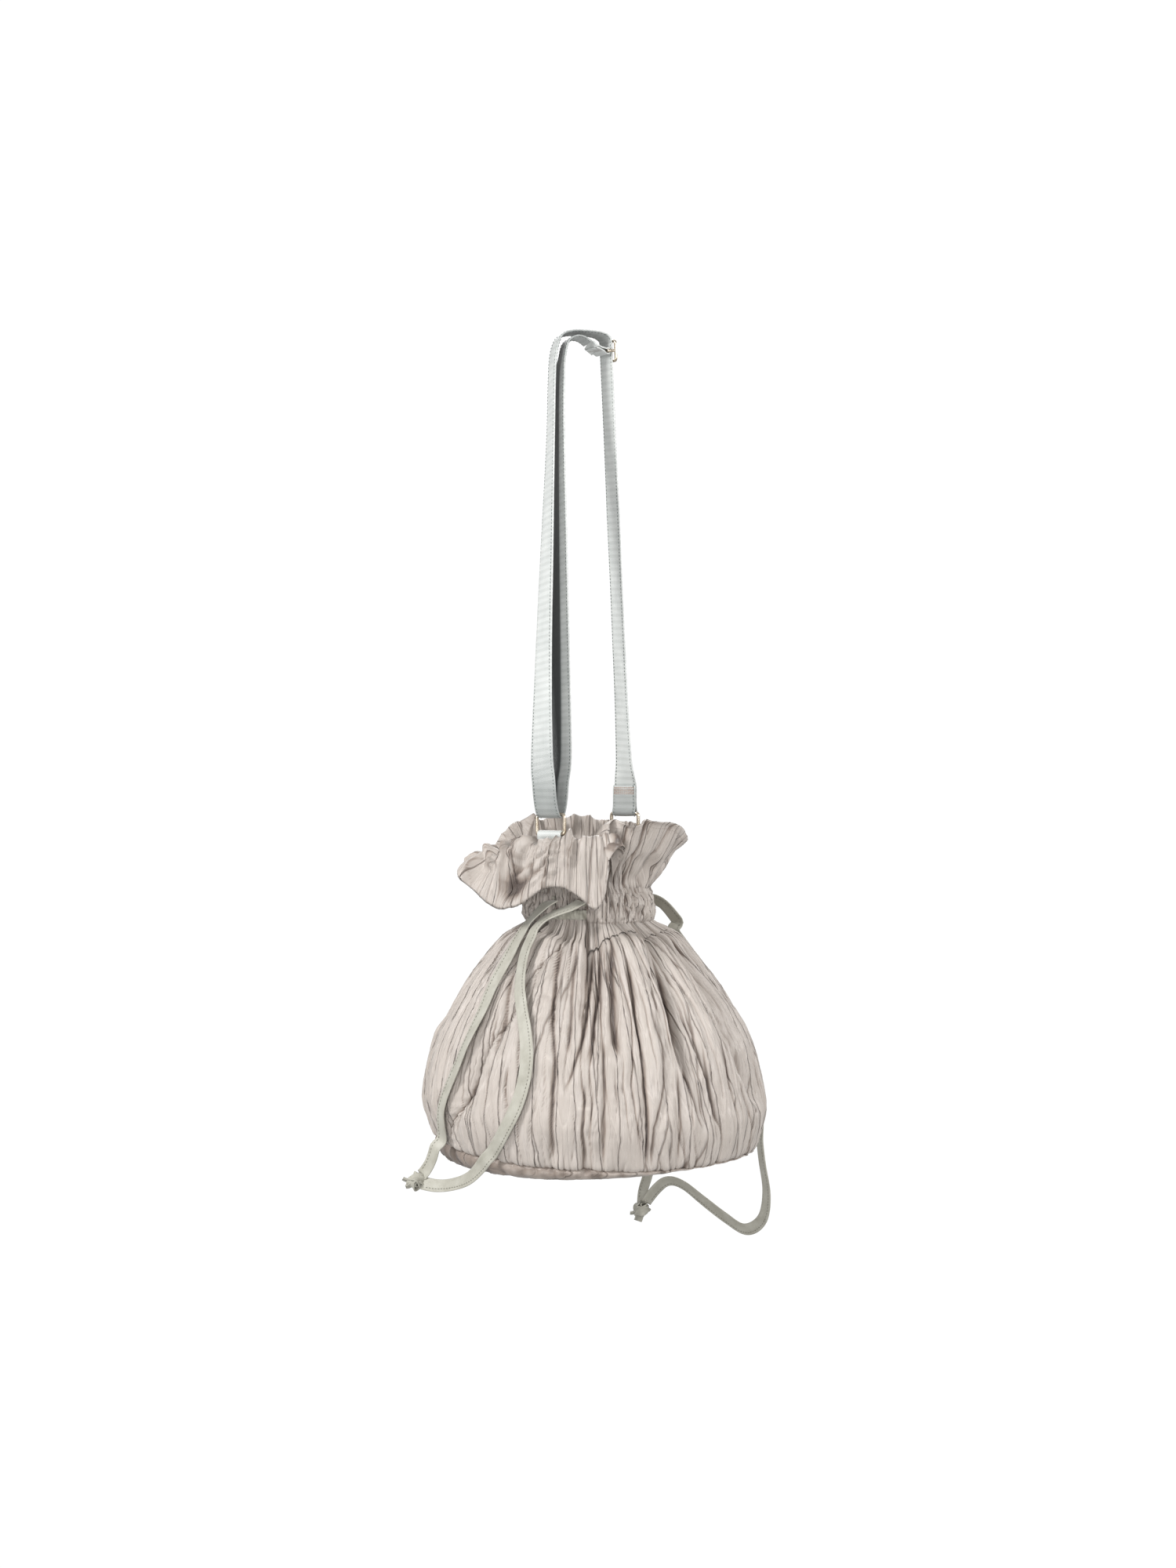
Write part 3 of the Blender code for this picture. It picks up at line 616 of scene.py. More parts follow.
# The deepest folds: (side that drops steeply, depth, width of the soft side, [(v, direction in degrees)])
FOLDS = [(1, 0.016, 0.015, [(0.51, 220.9), (0.64, 221), (0.79, 222.5), (0.9, 225), (0.95, 226.5)]),
         (-1, 0.011, 0.016, [(0.41, 245.2), (0.55, 244.5), (0.73, 246.2), (0.82, 245.3), (0.96, 251.4)]),
         (-1, 0.012, 0.012, [(0.22, 280.5), (0.35, 277), (0.46, 273.6), (0.6, 272.9)]),
         (1, 0.008, 0.012, [(0.36, 202.5), (0.42, 204.5), (0.63, 208.8), (0.82, 211.5), (0.95, 213.6)]),
         (-1, 0.008, 0.012, [(0.17, 248.8), (0.31, 247.5), (0.5, 245), (0.68, 249), (0.85, 251.9)]),
         (-1, 0.007, 0.01, [(0.04, 197.5), (0.48, 198.2), (0.77, 194.5), (0.95, 192.6)]),
         (1, 0.007, 0.01, [(0.03, 228.9), (0.48, 229.4), (0.67, 230.2), (0.86, 232.6)]),
         (-1, 0.006, 0.009, [(0.03, 230.5), (0.19, 231.2), (0.35, 235.8), (0.54, 238.3), (0.66, 236.8)]),
         (1, 0.006, 0.009, [(0.11, 159.6), (0.27, 165), (0.4, 168.6), (0.52, 171.7)]),
         (1, 0.006, 0.008, [(0.2, 166.2), (0.37, 169.5), (0.49, 170.9), (0.62, 171.7)]),
         (1, 0.009, 0.012, [(0.48, 210.7), (0.64, 212.5), (0.83, 217.1), (0.97, 219.8)]),
         (-1, 0.007, 0.01, [(0.54, 202.8), (0.67, 203.2), (0.83, 202.6), (0.97, 203.3)]),
         (-1, 0.006, 0.009, [(0.12, 255.5), (0.37, 255.5), (0.53, 253.3), (0.66, 253.3)]),
         (-1, 0.01, 0.016, [(0.54, 270), (0.67, 272.3), (0.8, 275.3), (0.94, 278.3)]),
         (1, 0.005, 0.009, [(0.02, 214.2), (0.33, 215.3), (0.54, 215.8)]),
         (-1, 0.005, 0.008, [(0.04, 240.3), (0.22, 240.7), (0.38, 241.5)]),
         (-1, 0.006, 0.01, [(0.48, 175.4), (0.65, 175.1), (0.81, 170.8)]),
         (1, 0.005, 0.008, [(0.02, 208.2), (0.19, 207.7), (0.36, 208.9)]),
         (1, 0.012, 0.015, [(0.5, 12), (0.75, 16), (0.99, 20)]),
         (-1, 0.01, 0.014, [(0.35, 52), (0.7, 47), (0.99, 44)]),
         (1, 0.009, 0.012, [(0.2, 84), (0.6, 88), (0.99, 92)]),
         (-1, 0.012, 0.014, [(0.55, 120), (0.8, 117), (0.99, 112)]),
         (1, 0.008, 0.012, [(0.1, 318), (0.5, 322), (0.99, 330)]),
         (-1, 0.01, 0.014, [(0.4, 348), (0.7, 345), (0.99, 342)]),
         (-1, 0.008, 0.012, [(2.02, 222.5), (2.5, 225.5), (2.98, 227.5)]),
         (1, 0.005, 0.01, [(2.02, 237), (2.5, 237.5), (2.98, 239)]),
         (-1, 0.008, 0.01, [(2.02, 250), (2.5, 253), (2.98, 256)]),
         (1, 0.006, 0.009, [(2.1, 270), (2.5, 273), (2.98, 276)])]


def turn_from(direction, centre):
    """Degrees from a direction, the short way round."""
    return (direction - centre + 180.0) % 360.0 - 180.0


def spot(direction, v, centre, wide, level, tall):
    """A soft patch of the surface, 1 at its middle."""
    return np.exp(-((direction - centre) / wide) ** 2 - ((v - level) / tall) ** 2)


def drawn_folds(direction, v, radius):
    """Depth of the deepest folds, which end softly, and a line along each crease for painted shade."""
    depth = np.zeros_like(radius)
    line = np.zeros_like(radius)
    for side, deep, soft, path in FOLDS:
        first, last = path[0][0], path[-1][0]
        centre = np.interp(v, [p[0] for p in path], [p[1] for p in path])
        gap = np.radians(turn_from(direction, centre)) * radius
        if 0.9 < last < 1:
            top = np.clip((1.06 - v) / 0.20, 0, 1)
        else:
            top = np.clip((last + 0.06 - v) / 0.12, 0, 1)
        strength = ease(np.clip((v - first + 0.05) / 0.12, 0, 1) * top)
        width = np.where(gap * side > 0, 0.0012 + 0.22 * deep, soft)
        depth += deep * strength * np.exp(0.3 - np.sqrt((gap / width) ** 2 + 0.09))
        line += strength * min(1.0, deep / 0.007) * np.exp(-(gap / (0.0010 + deep * 0.10)) ** 2)
    return depth, line


def creases(turn, up, count, seed, width, wander, bias, steps=9, slant=2.4, thin=0.07):
    """Depth of wandering upright creases, steep on one side, that deepen, fade and meet, and a line along
    each crease for painted shade.
    """
    rng = np.random.default_rng(seed)
    jitter = rng.uniform(-0.38, 0.38, count)
    path = rng.uniform(-1, 1, (count, steps + 2))
    depth = rng.uniform(-0.65, 1.0, (count, steps + 2))
    steep = rng.choice([-1, 1], count)
    x = (turn % 1.0) * count
    cell = np.floor(x).astype(int)
    place = np.clip(up, 0, 1) * steps
    j = np.minimum(np.floor(place).astype(int), steps)
    t = ease(place - j)
    out = np.zeros_like(x)
    line = np.zeros_like(x)
    for k in range(-3, 4):
        i = (cell + k) % count
        centre = cell + k + 0.5 + jitter[i] + wander * (path[i, j] * (1 - t) + path[i, j + 1] * t)
        deep = np.clip(bias + depth[i, j] * (1 - t) + depth[i, j + 1] * t, 0, 1.2)
        gap = x - centre
        side = np.where(gap * steep[i] > 0, width, width * slant)
        out += deep * np.exp(0.3 - np.sqrt((gap / side) ** 2 + 0.09))
        line += np.clip(deep * 1.6, 0, 1) * np.exp(-(gap / thin) ** 2)
    return out, line


def fold_depth(angle, v, point):
    """How far the fabric lies inside the smooth skin, in metres, and the painted fold shade from 0 to 1."""
    z = point[..., 2]
    direction = angle + seam_turn(z, v)
    turn = direction / 360.0
    up = v / 3.0
    rise = np.clip(v, 0, 1)
    neck = np.clip((v - 0.35) / 0.65, 0, 1) ** 1.3
    frill = np.clip(v - 2, 0, 1)
    body = np.clip(1 - (v - 1) / 0.1, 0, 1)
    warp = 0.0030 * soft_noise(turn, up, 9, 12, 11) + 0.0012 * soft_noise(turn, up, 40, 40, 12)
    a = turn + warp * (0.3 + 0.7 * body)
    gathers, gather_line = creases(a, up, 27, 21, 0.10, 0.30, 0.30, slant=3.4, thin=0.035)
    long_folds, long_line = creases(a, up, 74, 22, 0.070, 0.50, 0.10, slant=5.0, thin=0.060)
    small, small_line = creases(a, up, 140, 23, 0.080, 0.8, 0.00, steps=17, slant=4.5, thin=0.10)
    fine, fine_line = creases(a, up, 290, 24, 0.15, 1.2, -0.05, steps=34, slant=2.5, thin=0.18)
    crumple = np.abs(soft_noise(a, up, 300, 60, 31))
    crumple = crumple + 0.5 * np.abs(soft_noise(a + 0.1 * up, up, 200, 170, 32))
    patch = np.clip(0.4 + soft_noise(turn, up, 10, 9, 34), 0, 1)
    slack = soft_noise(a, up, 17, 10, 33)
    seam = np.minimum(angle % 180.0, 180.0 - angle % 180.0)
    radius = np.hypot(point[..., 0], point[..., 1] - MOUTH_Y)
    near = seam / 57.3 * radius
    # the right side of the frill stands smoother than the rest
    smooth_side = np.exp(-(turn_from(direction, 285.0) / 52.0) ** 2) * np.clip(frill * 5, 0, 1)
    big = 0.0022 + 0.0075 * neck
    big = np.where(v > 1, 0.0055, big)
    big = np.where(v > 2, 0.0050 + 0.0085 * np.sin(frill * 2.2), big)
    mid = np.where(v > 1, 0.0030, 0.0040 * (0.75 + 0.25 * rise))
    mid = np.where(v > 2, 0.0040 * (1 - 0.45 * frill), mid) * (1 - 0.6 * smooth_side)
    rough = 1 - 0.8 * smooth_side
    low_size = np.where(v > 2, 0.0018 * (1 - 0.5 * frill), 0.0024) * rough
    tiny = np.where(v > 2, 0.0006, 0.0012) * rough
    depth = big * gathers + mid * long_folds + low_size * small + tiny * fine
    depth = depth + 0.0008 * crumple * (0.3 + patch) * rough
    depth = depth + 0.0022 * slack * body * np.sin(math.pi * np.clip(v, 0, 1))
    deep, deep_line = drawn_folds(direction, v, radius)
    depth = depth + deep
    # the drooping side of the frill is crushed
    crushed = np.exp(-(turn_from(direction, 150.0) / 48.0) ** 2) * np.clip(frill * 3, 0, 1)
    lumps = soft_noise(turn, up, 54, 36, 35) + 0.7 * soft_noise(turn, up, 110, 74, 36)
    edge = np.clip((3.0 - v) / 0.30, 0.25, 1)
    depth = depth + crushed * edge * (0.0034 * np.abs(lumps) + 0.0030 * lumps - 0.0020)
    # a hollow and sharp wrinkles on the flap that hangs over at the front
    hollow = spot(direction, v, 166.0, 7.0, 2.87, 0.075)
    depth = depth * (1 - 0.5 * hollow) - 0.0110 * hollow
    over = spot(direction, v, 180.0, 18.0, 2.80, 0.12)
    wrinkle = soft_noise(turn - 0.05 * up, 0.75 * up + 0.2 * turn, 46, 80, 55)
    crest = np.exp(-(wrinkle / 0.16) ** 2)
    depth = depth * (1 - 0.75 * over) + over * (0.0055 * np.abs(wrinkle) - 0.0025 * crest + 0.001)
    # less painted shade on the channel under the flap
    opened = np.exp(-((direction - 192.0) / 16.0) ** 2) * np.clip((v - 0.85) / 0.3, 0, 1)
    opened = opened * np.clip((2.35 - v) / 0.2, 0, 1)
    # a crushed patch under the near tapes
    patch_at = spot(direction, v, 200.0, 17.0, 0.74, 0.17)
    crush = soft_noise(turn + 0.06 * up, up + 0.10 * turn, 84, 70, 51)
    depth = depth * (1 - 0.3 * patch_at) + patch_at * 0.0046 * np.abs(crush)
    # the side seams draw the fabric in, with short puckers across them
    ripple = 0.5 + 0.5 * np.sin(z / 0.0085 * 2 * math.pi + 2.5 * soft_noise(turn, up, 6, 14, 41))
    depth = depth + 0.0030 * np.exp(-near / 0.0022) + 0.0018 * ripple * np.exp(-near / 0.010)
    # the base seam does the same along the bottom
    low = np.clip(v, 0, 1) * (CHANNEL_BOTTOM - BASE_SEAM)
    pucker, _ = creases(turn, up, 150, 42, 0.25, 0.2, 0.25, steps=40)
    drawn = 0.0022 * np.exp(-low / 0.0016) + 0.0018 * pucker * np.exp(-low / 0.009)
    depth = depth + np.where(v < 1, drawn, 0)
    # painted shade: dark lines along the creases, darker in the deep folds, the crushed lumps and patch, the
    # wrinkle crests and the hollow, less of it on the smooth side and under the flap, and darker right along
    # the seams
    gather_shade = gather_line * np.where(v > 0.93, 0.35, 0.15 + 0.45 * neck)
    shade = 0.9 * deep_line + gather_shade + 0.65 * long_line + 0.45 * small_line + 0.2 * fine_line
    shade = shade * (1 - 0.45 * smooth_side) * (1 - 0.3 * patch_at)
    shade = shade + patch_at * 0.5 * np.clip(np.abs(crush) - 0.6, 0, 1)
    shade = shade * (1 - 0.7 * over) + over * 0.7 * crest
    shade = shade + deep * 12 + crushed * np.clip(lumps, 0, 1) * 0.35 + 1.1 * hollow
    shade = shade * (1 - 0.8 * opened)
    shade = shade + 0.6 * np.exp(-near / 0.0010) + np.where(v < 1, 0.5 * np.exp(-low / 0.0010), 0)
    return depth, np.clip(shade, 0, 1)


def bag_levels(body, channel, frill):
    """Levels up the bag, with a number of rows for each part, closer together low on the body."""
    low = np.linspace(0, 1, body)
    low = low * 0.82 + 0.18 * low * low
    return np.concatenate([low, np.linspace(1, 2, channel)[1:], np.linspace(2, 3, frill)[1:]])


def folded(angles, levels, off=0.0, share=1.0):
    """Points, normals and painted shade of the folded fabric on a grid of levels by angles."""
    grid_a, grid_v = np.broadcast_arrays(angles, np.asarray(levels)[:, None])
    skin = bag_skin(grid_a, grid_v)
    east = bag_skin(grid_a + 0.4, grid_v) - bag_skin(grid_a - 0.4, grid_v)
    north = bag_skin(grid_a, np.minimum(grid_v + 0.01, 3)) - bag_skin(grid_a, np.maximum(grid_v - 0.01, 0))
    normal = unit(np.cross(east, north))
    depth, shade = fold_depth(grid_a, grid_v, skin)
    # the frill's folds lie to both sides of its skin
    centred = np.where(grid_v > 2, np.clip(grid_v - 2, 0, 1) * 0.0035, 0)
    points = skin + normal * (centred - depth * share + off)[..., None]
    return lean(points), normal, shade


def fabric_uv(angles, levels):
    """Metres across the cut panel and up it."""
    radius, body, channel, frill = 0.160, 0.245, 0.034, 0.065
    levels = np.asarray(levels)
    across = np.radians(angles + turn_at(levels)[:, None]) * radius
    grid_a, grid_v = np.broadcast_arrays(across, levels[:, None])
    up = np.where(grid_v < 1, grid_v * body, body + (grid_v - 1) * channel)
    return np.stack([grid_a, np.where(grid_v > 2, body + channel + (grid_v - 2) * frill, up)], axis=-1)


def make_panels():
    """Each half of the bag, turned over at the frill's edge and back down inside to the channel."""
    columns = 620
    for name, start in (("front_panel", 180.0), ("back_panel", 0.0)):
        levels = bag_levels(84, 14, 32)
        angles = panel_angles(start, levels, columns)
        outer, _, shade = folded(angles, levels)
        turned = np.concatenate([np.linspace(3, 2.5, 29)[1:], np.linspace(2.5, 2, 7)[1:]])
        inner_angles = panel_angles(start, turned, columns)
        inner, _, inner_shade = folded(inner_angles, turned, off=-0.0013)
        points = np.concatenate([outer, inner])
        inner_uv = fabric_uv(inner_angles, turned)
        inner_uv[..., 1] = 0.70 - inner_uv[..., 1]
        uv = np.concatenate([fabric_uv(angles, levels), inner_uv])
        # where the frill hangs over, its inner side is the one seen, and doesn't get the painted shade of an
        # inside
        hung = np.clip(around(FRILL_RIM, inner_angles + RIM_TURN)[2] / 0.03, 0, 1)
        hung = hung * np.clip((turned[:, None] - 2.45) / 0.10, 0, 1)
        shades = np.concatenate([shade, inner_shade * (0.6 + 0.4 * hung) + 0.25 * (1 - hung)])
        faces = grid_faces(len(points), points.shape[1])
        piece = mesh_object(name + "_satin", points, faces, SATIN, uv, shades)
        belong(piece, "bag", "satin", name)


def make_lining():
    angles = np.linspace(0, 360, 361)[:-1]
    levels = bag_levels(60, 12, 2)[:-1]
    points = folded(angles[None, :], levels, off=-0.0080)[0]
    faces = grid_faces(len(levels), len(angles), closed=True)
    piece = mesh_object("body_lining_cloth", points, faces, LINING)
    belong(piece, "bag", "lining", "body_lining")


BASE_TURN_IN = 0.15                    # share of the way in from the seam where the base has turned level
BASE_RADIUS = 0.151
FLAT_RADIUS = 0.136


def base_skin(angle, v):
    """Underside of the base: v is 0 at the seam and 1 at the middle."""
    angle, v = np.broadcast_arrays(np.asarray(angle, float), np.asarray(v, float))
    a = np.clip(v / BASE_TURN_IN, 0, 1) * math.pi / 2
    inner = np.clip((v - BASE_TURN_IN) / (1 - BASE_TURN_IN), 0, 1)
    radius = np.where(v <= BASE_TURN_IN, BASE_RADIUS - 0.015 * (1 - np.cos(a)), FLAT_RADIUS * (1 - inner))
    z = BASE_SEAM - 0.0005 - (BASE_SEAM - 0.0005 - BASE_LOW) * np.sin(a)
    phi = np.radians(angle + SEAM_TURN[0][1])
    return np.stack([radius * np.cos(phi), BASE_Y + radius * np.sin(phi), z], axis=-1)


def make_base():
    angles = np.linspace(0, 360, 481)[:-1]
    levels = np.concatenate([np.linspace(0, BASE_TURN_IN, 16), np.linspace(BASE_TURN_IN, 0.995, 70)[1:]])
    for name, mat, off, slot, share in (("base_panel", SATIN, 0.0, "satin", 1.0),
                                        ("base_lining", LINING, 0.0030, "lining", 0.6)):
        grid_a, grid_v = np.meshgrid(angles, levels)
        points = base_skin(grid_a, grid_v)
        inner = np.clip((grid_v - BASE_TURN_IN) / (1 - BASE_TURN_IN), 0, 1)
        turn = grid_a / 360
        edge = np.clip(grid_v / BASE_TURN_IN, 0, 1)
        pucker, _ = creases(turn, grid_v, 120, 51, 0.25, 0.3, 0.2, steps=12)
        across = points[..., 0] / 0.34 + 0.5
        along = (points[..., 1] - BASE_Y) / 0.34 + 0.5
        crumple = np.abs(soft_noise(across, along, 46, 46, 52))
        crumple = crumple + 0.5 * np.abs(soft_noise(across, along, 90, 90, 53))
        slack = soft_noise(across, along, 5, 6, 54)
        lift = 0.0016 * pucker * np.exp(-((edge - 0.3) / 0.5) ** 2) * (1 - inner) ** 4 + 0.0011 * crumple
        lift = lift + 0.0016 * slack * np.sin(math.pi * inner) + 0.0016 * np.exp(-grid_v / 0.012)
        out = flat_way(np.radians(grid_a + SEAM_TURN[0][1]))
        tilt = edge[..., None] * (math.pi / 2)
        normal = out * np.cos(tilt) - np.array([0, 0, 1.0]) * np.sin(tilt)
        points = points - normal * (lift * share + off)[..., None]
        side = points[..., :2] @ RIGHT_OF_VIEW / 0.15
        # the sag grows towards the left of the view
        sag = np.clip(0.62 - 0.80 * side, 0.06, 1.45)
        points[..., 2] = BASE_SEAM + (points[..., 2] - BASE_SEAM) * sag
        points = lean(points)
        edge_row = folded(angles, np.array([0.0, 0.01]), off=-off)[0][:1]
        points = points + (edge_row - points[:1]) * np.exp(-grid_v / 0.06)[..., None]
        uv = points[..., :2]
        # painted shade on the underside: in the puckers and crumples, all over, and more towards the left of
        # the view
        shade = 0.25 * pucker * (1 - inner) ** 3 + 0.20 * crumple + 0.26 + 0.42 * np.clip(-side, 0, 1)
        shade = np.clip(shade, 0, 1)
        faces = grid_faces(len(levels), len(angles), closed=True, flip=True)
        piece = mesh_object(name + "_cloth", points, faces, mat, uv, shade)
        belong(piece, "bag", slot, name)


# ---------------------------------------------------------------- strips of webbing and tape
def strip(name, centre, across, normal, width, thick, mat, columns, closed=False, crown=0.0, painted_shade=None):
    """A flat woven strip: a rounded cross-section carried along a line. crown bows it across, and the last
    argument gives the painted shade from the share along it and the section."""
    centre, across, normal = (np.asarray(x, float) for x in (centre, across, normal))
    half = width / 2 - thick / 2
    flat = np.linspace(-half, half, columns)
    turn = np.linspace(math.pi / 2, -math.pi / 2, 5)[1:-1]
    top = [(x, thick / 2 + crown * (1 - (x / half) ** 2)) for x in flat]
    right = [(half + math.cos(a) * thick / 2, math.sin(a) * thick / 2) for a in turn]
    bottom = [(x, -thick / 2 + crown * (1 - (x / half) ** 2)) for x in flat[::-1]]
    left = [(-half - math.cos(a) * thick / 2, -math.sin(a) * thick / 2) for a in turn]
    section = np.array(top + right + bottom + left)
    points = (centre[:, None, :] + across[:, None, :] * section[None, :, :1]
              + normal[:, None, :] * section[None, :, 1:])
    steps = np.linalg.norm(np.diff(centre, axis=0), axis=1)
    along = np.concatenate([[0], np.cumsum(steps)])
    rows, columns_all = points.shape[:2]
    uv = np.stack([np.broadcast_to(section[:, 0] + width / 2, (rows, columns_all)),
                   np.broadcast_to(along[:, None], (rows, columns_all))], axis=-1)
    faces = grid_faces(rows, columns_all, closed=True)
    verts = points.reshape(-1, 3)
    uvs = uv.reshape(-1, 2)
    if painted_shade is not None:
        painted_shade = np.concatenate([painted_shade(along / along[-1], section).ravel(), [0.0, 0.0]])
    if closed:
        faces = np.concatenate([faces, closing_faces(rows, columns_all)])
    else:
        caps = []
        for row, point in ((0, centre[0]), (rows - 1, centre[-1])):
            tip = len(verts)
            verts = np.concatenate([verts, [point]])
            uvs = np.concatenate([uvs, [[width / 2, along[row]]]])
            j = row * columns_all + np.arange(0, columns_all - 1, 2)
            third = np.minimum(j + 2, (row + 1) * columns_all - 1)
            pair = np.stack([np.full(len(j), tip), j, j + 1, third], axis=-1)
            caps.append(pair if row else pair[:, ::-1])
        faces = np.concatenate([faces] + caps)
    return mesh_object(name, verts, faces, mat, uvs, painted_shade)


def frames(points, side_hint):
    """Unit tangents, width directions and face normals along a line, from rough width directions."""
    points = np.asarray(points, float)
    tangent = unit(np.gradient(points, axis=0))
    across = np.asarray(side_hint, float)
    across = unit(across - tangent * (across * tangent).sum(1, keepdims=True))
    return tangent, across, np.cross(across, tangent)


def tube_mesh(name, points, radius, mat, closed=False, sides=20):
    """A round wire along points in one plane: a ring, or a rod with capped ends."""
    points = np.asarray(points, float)
    if closed:
        tangent = unit(np.roll(points, -1, axis=0) - np.roll(points, 1, axis=0))
    else:
        tangent = unit(np.gradient(points, axis=0))
    flat = np.linalg.svd(points - points.mean(0))[2][2]
    side = unit(np.cross(tangent, flat))
    a = np.linspace(0, 2 * math.pi, sides, endpoint=False)
    rings = (points[:, None, :] + radius * (np.cos(a)[None, :, None] * side[:, None, :]
                                            + np.sin(a)[None, :, None] * flat[None, None, :]))
    rows = len(points)
    faces = grid_faces(rows, sides, closed=True)
    if closed:
        faces = np.concatenate([faces, closing_faces(rows, sides)])
    obj = mesh_object(name, rings.reshape(-1, 3), faces, mat)
    if not closed:
        caps = [rings[0].mean(0) - tangent[0] * radius * 0.5, rings[-1].mean(0) + tangent[-1] * radius * 0.5]
        for end, point in zip((0, rows - 1), caps):
            ring = rings[end]
            verts = np.concatenate([ring, [point]])
            j = np.arange(0, sides, 2)
            fan = np.stack([np.full(len(j), sides), j, j + 1, (j + 2) % sides], axis=-1)
            cap = mesh_object(name + "_cap%d" % (end > 0), verts, fan if end else fan[:, ::-1], mat)
            join(obj, [cap])
    return obj


def join(obj, others):
    """Adds other meshes' parts to obj."""
    bm = bmesh.new()
    bm.from_mesh(obj.data)
    for other in others:
        bm.from_mesh(other.data)
        bpy.data.objects.remove(other, do_unlink=True)
    bm.to_mesh(obj.data)
    bm.free()
    return obj


def stitch_row(points, normals, length, width, pitch, height):
    """Verts and faces of separate stitches lying along a line."""
    line = even(np.concatenate([points, normals], axis=1), pitch)
    out_v, out_f = [], []
    for i in range(len(line) - 1):
        along = unit(line[i + 1, :3] - line[i, :3])
        normal = unit(line[i, 3:])
        side = np.cross(along, normal)
        base = line[i, :3]
        first = len(out_v) * 12
        rings = []
        for t, scale in ((0.0, 0.35), (0.5, 1.0), (1.0, 0.35)):
            mid = base + along * length * t + normal * height * (1.6 * t * (1 - t))
            for dx, dz in ((-1, 0), (0, 0.8), (1, 0), (0, -0.6)):
                rings.append(mid + side * dx * width / 2 * scale + normal * dz * width / 2 * scale)
        out_v.append(np.array(rings))
        for ring in (0, 4):
            for k in range(4):
                out_f.append([first + ring + k, first + ring + (k + 1) % 4,
                              first + ring + 4 + (k + 1) % 4, first + ring + 4 + k])
    return np.concatenate(out_v), np.array(out_f)


def sewn_row(middle, across, half, normal, count):
    """A row of sewing across one face of two layers of webbing."""
    points = [middle + across * a + normal * SEWN_OUT for a in np.linspace(-half, half, count)]
    return points, np.tile(normal, (count, 1))


def stitches(name, rows, length, width, pitch, mat, height=0.0003):
    """One piece of sewing from rows of (points, normals)."""
    verts, faces, count = [], [], 0
    for points, normals in rows:
        v, f = stitch_row(points, normals, length, width, pitch, height)
        verts.append(v)
        faces.append(f + count)
        count += len(v)
    return mesh_object(name, np.concatenate(verts), np.concatenate(faces), mat)


# ---------------------------------------------------------------- channel casings
def make_casings():
    """Strips sewn over the channel, open at each side seam where the tapes come out."""
    rows = []
    for name, start in (("front_casing", 180.0), ("back_casing", 0.0)):
        angles = np.linspace(start + 17, start + 163, 420)
        levels = np.linspace(0.98, 2.02, 26)
        base, normal, shade = folded(angles, levels, share=0.92)
        t = np.linspace(0, 1, len(levels))[:, None]
        puff = np.sin(math.pi * t) ** 0.7
        a = np.broadcast_to(angles[None, :] / 360, base.shape[:2])
        up = np.broadcast_to(t, base.shape[:2])
        pucker, _ = creases(a, up, 70, 61, 0.16, 0.30, 0.30, steps=4, slant=1.6)
        fine, _ = creases(a, up, 160, 62, 0.20, 0.6, 0.0, steps=6, slant=1.5)
        lift = 0.0006 + puff * np.clip(0.0052 - 0.0040 * pucker - 0.0014 * fine, 0.0020, 0.0052)
        end = np.clip(np.minimum(angles - angles[0], angles[-1] - angles) / 2.2, 0, 1)[None, :]
        lift = lift * (0.75 + 0.25 * end)
        points = base + normal * lift[..., None]
        hem = base[:, [0, -1]] + normal[:, [0, -1]] * 0.0009
        points = np.concatenate([hem[:, :1], points, hem[:, 1:]], axis=1)
        uv = np.pad(fabric_uv(angles, levels), ((0, 0), (1, 1), (0, 0)), mode="edge")
        # painted shade in the puckers and folds of the casing
        shades = np.clip(0.5 * pucker + 0.25 * fine + 0.15 * shade, 0, 1)
        shades = np.pad(shades, ((0, 0), (1, 1)), mode="edge")
        faces = grid_faces(len(levels), points.shape[1])
        piece = mesh_object(name + "_satin", points, faces, SATIN, uv, shades)
        belong(piece, "bag", "satin", name)
        for level in (2, -3):
            rows.append((points[level, 1:-1] + normal[level] * 0.0002, normal[level]))
    sewing = stitches("casing_stitching", rows, 0.0023, 0.00055, 0.0031, SEWING)
    belong(sewing, "bag", "thread")


def make_channel_tapes():
    """The drawcords' hidden stretches, once round the channel."""
    for name, seam, mid in (("left_drawcord_in_channel", 180.0, 1.70),
                            ("right_drawcord_in_channel", 0.0, 1.30)):
        angles = np.linspace(seam + 14, seam + 346, 420)
        levels = np.linspace(mid - 0.145, mid + 0.145, 7)
        outer = folded(angles, levels, off=0.0015)[0]
        inner = folded(angles, levels[::-1], off=0.0005)[0]
        points = np.swapaxes(np.concatenate([outer, inner]), 0, 1)
        uv = np.zeros(points.shape[:2] + (2,))
        uv[..., 0] = np.abs(np.linspace(-0.0105, 0.0105, points.shape[1]))[None, :]
        uv[..., 1] = (np.radians(angles) * 0.06)[:, None]
        faces = grid_faces(*points.shape[:2], closed=True, flip=True)
        piece = mesh_object(name + "_tape", points, faces, TAPE, uv)
        belong(piece, "bag", "tape", name)


# ---------------------------------------------------------------- strap, tabs and metal
def webbing(name, stations, body=None, step=0.0035, axis=None, crown=0.0004, painted_shade=None):
    """Webbing along stations of (x, y, z, turn of its width in degrees), or with its width along axis."""
    line = even(np.asarray(stations, float), step)
    points = line[:, :3]
    hint = flat_way(np.radians(line[:, 3])) if axis is None else np.tile(axis, (len(points), 1))
    tangent, across, normal = frames(points, hint)
    rng = np.random.default_rng(len(points))
    drift = np.interp(np.arange(len(points)), np.linspace(0, len(points), 24), rng.uniform(-1, 1, 24))
    across = unit(across + normal * drift[:, None] * 0.03)
    normal = np.cross(across, tangent)
    piece = strip(name, points, across, normal, WEB_WIDTH, WEB_THICK, WEBBING, 14, crown=crown, painted_shade=painted_shade)
    if body:
        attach(piece, body)
    return piece


